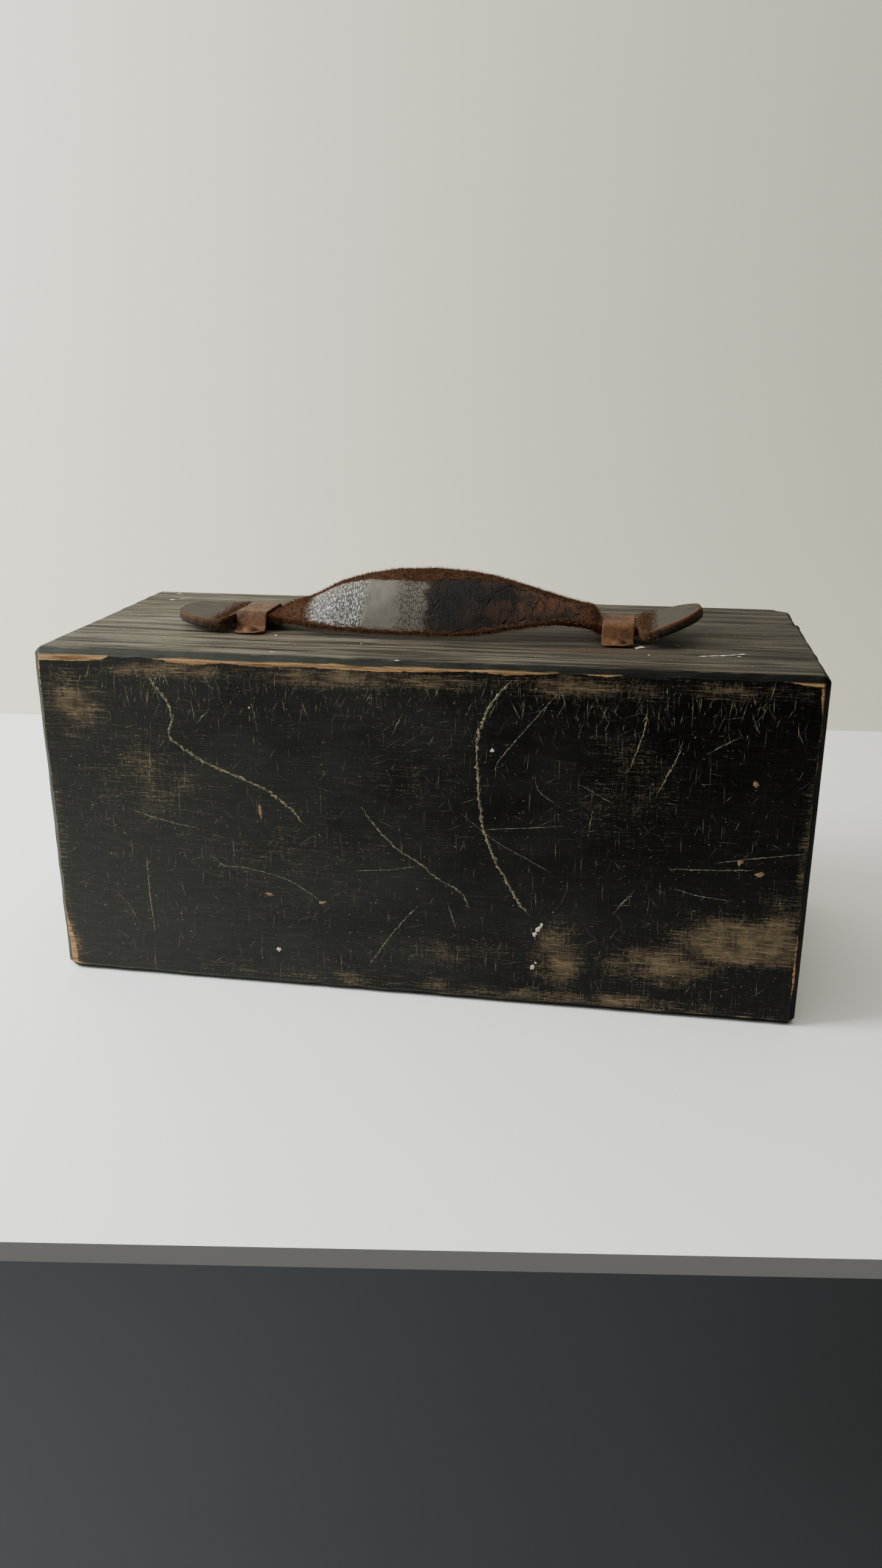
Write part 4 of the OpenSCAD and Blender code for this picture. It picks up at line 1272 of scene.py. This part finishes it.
leather, fibres = crackedLeather(leatherSettings), looseFibre()
for side in (-1, 1):
    growFuzz(makeStrapHalf(side, strapSettings, leather), side, fuzzSettings, fibres)
print("strap made")


# Hardware and inside


def rustyIron():
    s = Shade("rustyIron")
    pits = s.noise((1.1, 1.1, 1.1), 5, 0.7)
    cloud = s.noise((5, 5, 5), 4, 0.6, shift=2)
    colour = s.mix(s.spread(cloud, 0.3, 0.7), rgb(48, 28, 14), rgb(94, 62, 33))
    colour = s.over(colour, rgb(38, 24, 15), pits, 0.50, 0.68, 0.7)
    return s.finish(colour, s.spread(pits, 0.3, 0.7, 0.5, 0.75), s.bump(pits, 0.2, 0.7), Metallic=0.1,
                    Specular_IOR_Level=0.25)


def oldMetal(name, light, dark, rough):
    s = Shade(name)
    stain = s.noise((3, 3, 3), 5, 0.65)
    fine = s.noise((0.5, 4, 0.5), 3, 0.6, shift=1)
    colour = s.mix(s.spread(stain, 0.35, 0.7), light, dark)
    return s.finish(colour, s.spread(stain, 0.3, 0.7, rough, rough + 0.25),
                    s.bump(fine, 0.04, 0.4), Metallic=0.85)


def feltCloth():
    s = Shade("feltCloth")
    fibre = s.noise((0.8, 0.8, 0.8), 5, 0.75, twist=0.8)
    cloud = s.noise((18, 18, 18), 3, 0.5, shift=1)
    colour = s.mix(fibre, rgb(38, 58, 40), rgb(74, 98, 70))
    colour = s.mix(s.times(cloud, 0.4), colour, rgb(88, 92, 70))
    return s.finish(colour, 0.95, s.bump(fibre, 0.5, 0.8), Sheen_Weight=0.3)


def plainWood():
    s = Shade("plainWood")
    grain = s.noise((3, 14, 60), 4, 0.6, twist=0.4)
    pores = s.noise((0.5, 0.5, 9), 3, 0.6, shift=1)
    colour = s.mix(s.spread(grain, 0.35, 0.65), rgb(122, 84, 50), rgb(170, 126, 82))
    colour = s.over(colour, rgb(84, 56, 34), pores, 0.55, 0.8, 0.5)
    return s.finish(colour, 0.62, s.bump(pores, 0.1, 0.5))


def bentBar(name, path, middleX, spec, material):
    # a bar bent along a path of y and z, with the path along its middle
    path = np.asarray(path, float)
    slope = unit(np.gradient(path, axis=0))
    normal = np.column_stack([slope[:, 1], -slope[:, 0]])
    walk = lengthsAlong(path)
    fromEnd = np.minimum(walk, walk[-1] - walk)
    rings = []
    for spot, side, gap in zip(path, normal, fromEnd):
        inset = max(0, spec["endRadius"] - gap)
        half = spec["half"] - spec["endRadius"] + math.sqrt(spec["endRadius"] ** 2 - inset ** 2)
        thin = math.sqrt(max(0.04, 1 - (1 - min(gap / spec["corner"], 1)) ** 2))
        across, deep = barOutline(half, spec["thick"] * thin, spec["corner"], spec)
        place = spot + (spec["thick"] * thin / 2 - deep)[:, None] * side
        rings.append(np.column_stack([middleX + across, place]))
    rings = np.array(rings)
    points = rings.reshape(-1, 3)
    outward = unit(points - np.repeat(rings.mean(axis=1), rings.shape[1], axis=0))
    dent = valueNoise(points, spec["dentSize"], noiseSeeds["dent"]) - 0.8
    points = points + outward * (dent * spec["dent"])[:, None]
    walls, first, last = loftFaces(len(rings), rings.shape[1])
    made = makePiece(name, points, [*walls, first[::-1], last], material)
    faceOutward(made)
    return made


def roundedPath(stops, step):
    # straight stretches between stops (y, z, radius), joined by arcs of that radius
    path = [np.array(stops[0][:2], float)]
    for before, (y, z, radius), after in zip(stops, stops[1:], stops[2:]):
        corner = np.array((y, z), float)
        a, b = np.array(before[:2]) - corner, np.array(after[:2]) - corner
        a, b = a / np.linalg.norm(a), b / np.linalg.norm(b)
        half = math.acos(np.clip(a @ b, -1, 1)) / 2
        start, end = corner + a * radius / math.tan(half), corner + b * radius / math.tan(half)
        middle = corner + (a + b) / np.linalg.norm(a + b) * radius / math.sin(half)
        for t in np.linspace(0, 1, 9):
            spot = (start - middle) * (1 - t) + (end - middle) * t
            path.append(middle + spot / np.linalg.norm(spot) * radius)
    path.append(np.array(stops[-1][:2], float))
    fine = [path[0]]
    for a, b in zip(path, path[1:]):
        count = max(1, round(np.linalg.norm(b - a) / step))
        fine += [a + (b - a) * k / count for k in range(1, count + 1)]
    return fine


clipSettings = {
    # y from the clip's middle, height over the case and bend radius along half of the strip
    "stops": [(-18.9, 0.62, 0), (-13.0, 0.62, 2.6), (-10.7, 7.5, 2.2)],
    "half": 6.4, "thick": 0.95, "corner": 0.3, "endRadius": 3.4, "acrossCount": 16,
    "cornerSteps": 3, "dent": 0.16, "dentSize": 3.2,
}


def makeClips(settings):
    front = [(clipY + y, topZ + z, r) for y, z, r in settings["stops"]]
    back = [(clipY - y, topZ + z, r) for y, z, r in settings["stops"][::-1]]
    for word in ("left", "right"):
        low, high = nodeBox("clip_" + word)
        path = roundedPath(front + back, 0.5)
        clip = bentBar("bent_clip_" + word, path, (low[0] + high[0]) / 2, settings, iron)
        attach(clip, "case")
        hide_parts("clip_" + word)


liningSettings = {
    "half": 5.9, "thick": 1.5, "corner": 0.5, "endRadius": 0.6, "acrossCount": 14,
    "cornerSteps": 3, "dent": 0.3, "dentSize": 2.5, "round": 15.2,
}


def makeLinings(settings):
    for word in ("foot", "tube"):
        low, high = nodeBox(word + "_felt")
        inset = settings["thick"] / 2
        y0, y1, z0, z1 = low[1] + inset, high[1] - 0.2, low[2] + inset, high[2] - inset
        bend = min(settings["round"], (z1 - z0) / 2 - 0.2)
        stops = [(y1, z0, 0), (y0, z0, bend), (y0, z1, bend), (y1, z1, 0)]
        lining = bentBar("lining_" + word, roundedPath(stops, 1.2), (low[0] + high[0]) / 2,
                         settings, felt)
        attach(lining, "case")
        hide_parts(word + "_felt")


padSettings = {"step": 1.6, "edgeStep": 1.0, "edgeZone": 5, "edgeThick": 4.2,
               "crown": (6, 4), "wrinkle": 0.5, "wrinkleSize": (14, 9, 11), "waist": 0.022,
               "taper": 0.03}


def makePad(settings):
    low, high = nodeBox("lid_felt")
    points, faces = latticeBox(low, high, settings)
    middle, half = (low + high) / 2, (high - low) / 2
    u, w = (points[:, 0] - middle[0]) / half[0], (points[:, 2] - middle[2]) / half[2]
    longPower, tallPower = settings["crown"]
    crown = (1 - np.abs(u) ** longPower) * (1 - np.abs(w) ** tallPower)
    forward = (high[1] - points[:, 1]) / (high[1] - low[1])
    tall = settings["edgeThick"] + (high[1] - low[1] - settings["edgeThick"]) * crown
    wrinkle = valueNoise(points, settings["wrinkleSize"], noiseSeeds["wrinkle"])
    tall -= settings["wrinkle"] * wrinkle * crown
    shaped = points.copy()
    shaped[:, 1] = high[1] - forward * tall
    pull = 1 - settings["waist"] * np.sin(np.pi * forward) - settings["taper"] * forward ** 3
    shaped[:, 0] = middle[0] + (points[:, 0] - middle[0]) * (1 - (1 - pull) * half[2] / half[0])
    shaped[:, 2] = middle[2] + (points[:, 2] - middle[2]) * pull
    pad = makePiece("lid_pad", shaped, faces, felt)
    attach(pad, "lid")
    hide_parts("lid_felt")


iron, felt, bareWood = rustyIron(), feltCloth(), plainWood()
brass = oldMetal("oldBrass", rgb(176, 142, 84), rgb(92, 74, 46), 0.38)
steel = oldMetal("dullSteel", rgb(150, 148, 142), rgb(74, 68, 62), 0.42)

makeClips(clipSettings)
makeLinings(liningSettings)
makePad(padSettings)
print("clips, linings and pad made")

railPaint = paintedWood(paintSettings, "paintedRail", rail=True)
nodeFinish = {
    "bottom_rail": railPaint, "lid_bottom_rail": railPaint,
    "clip_rivets": iron,
    "foot_cradle": bareWood, "tube_cradle": bareWood, "accessory_block": bareWood,
    "turn_button": bareWood,
    "hinge_leaf_left": brass, "hinge_leaf_right": brass, "lid_leaf_left": brass,
    "lid_leaf_right": brass, "hinge_pins": brass, "hook_left": brass, "hook_right": brass,
    "hook_pivots": brass, "hook_studs": brass, "hinge_screws": steel, "lid_screws": steel,
    "button_screw": steel, "case_pins": steel, "lid_pins": steel,
}
for node, material in nodeFinish.items():
    for slot in bpy.data.objects[node].material_slots:
        slot.material = material
print("rails, metal, bare wood and pins dressed")
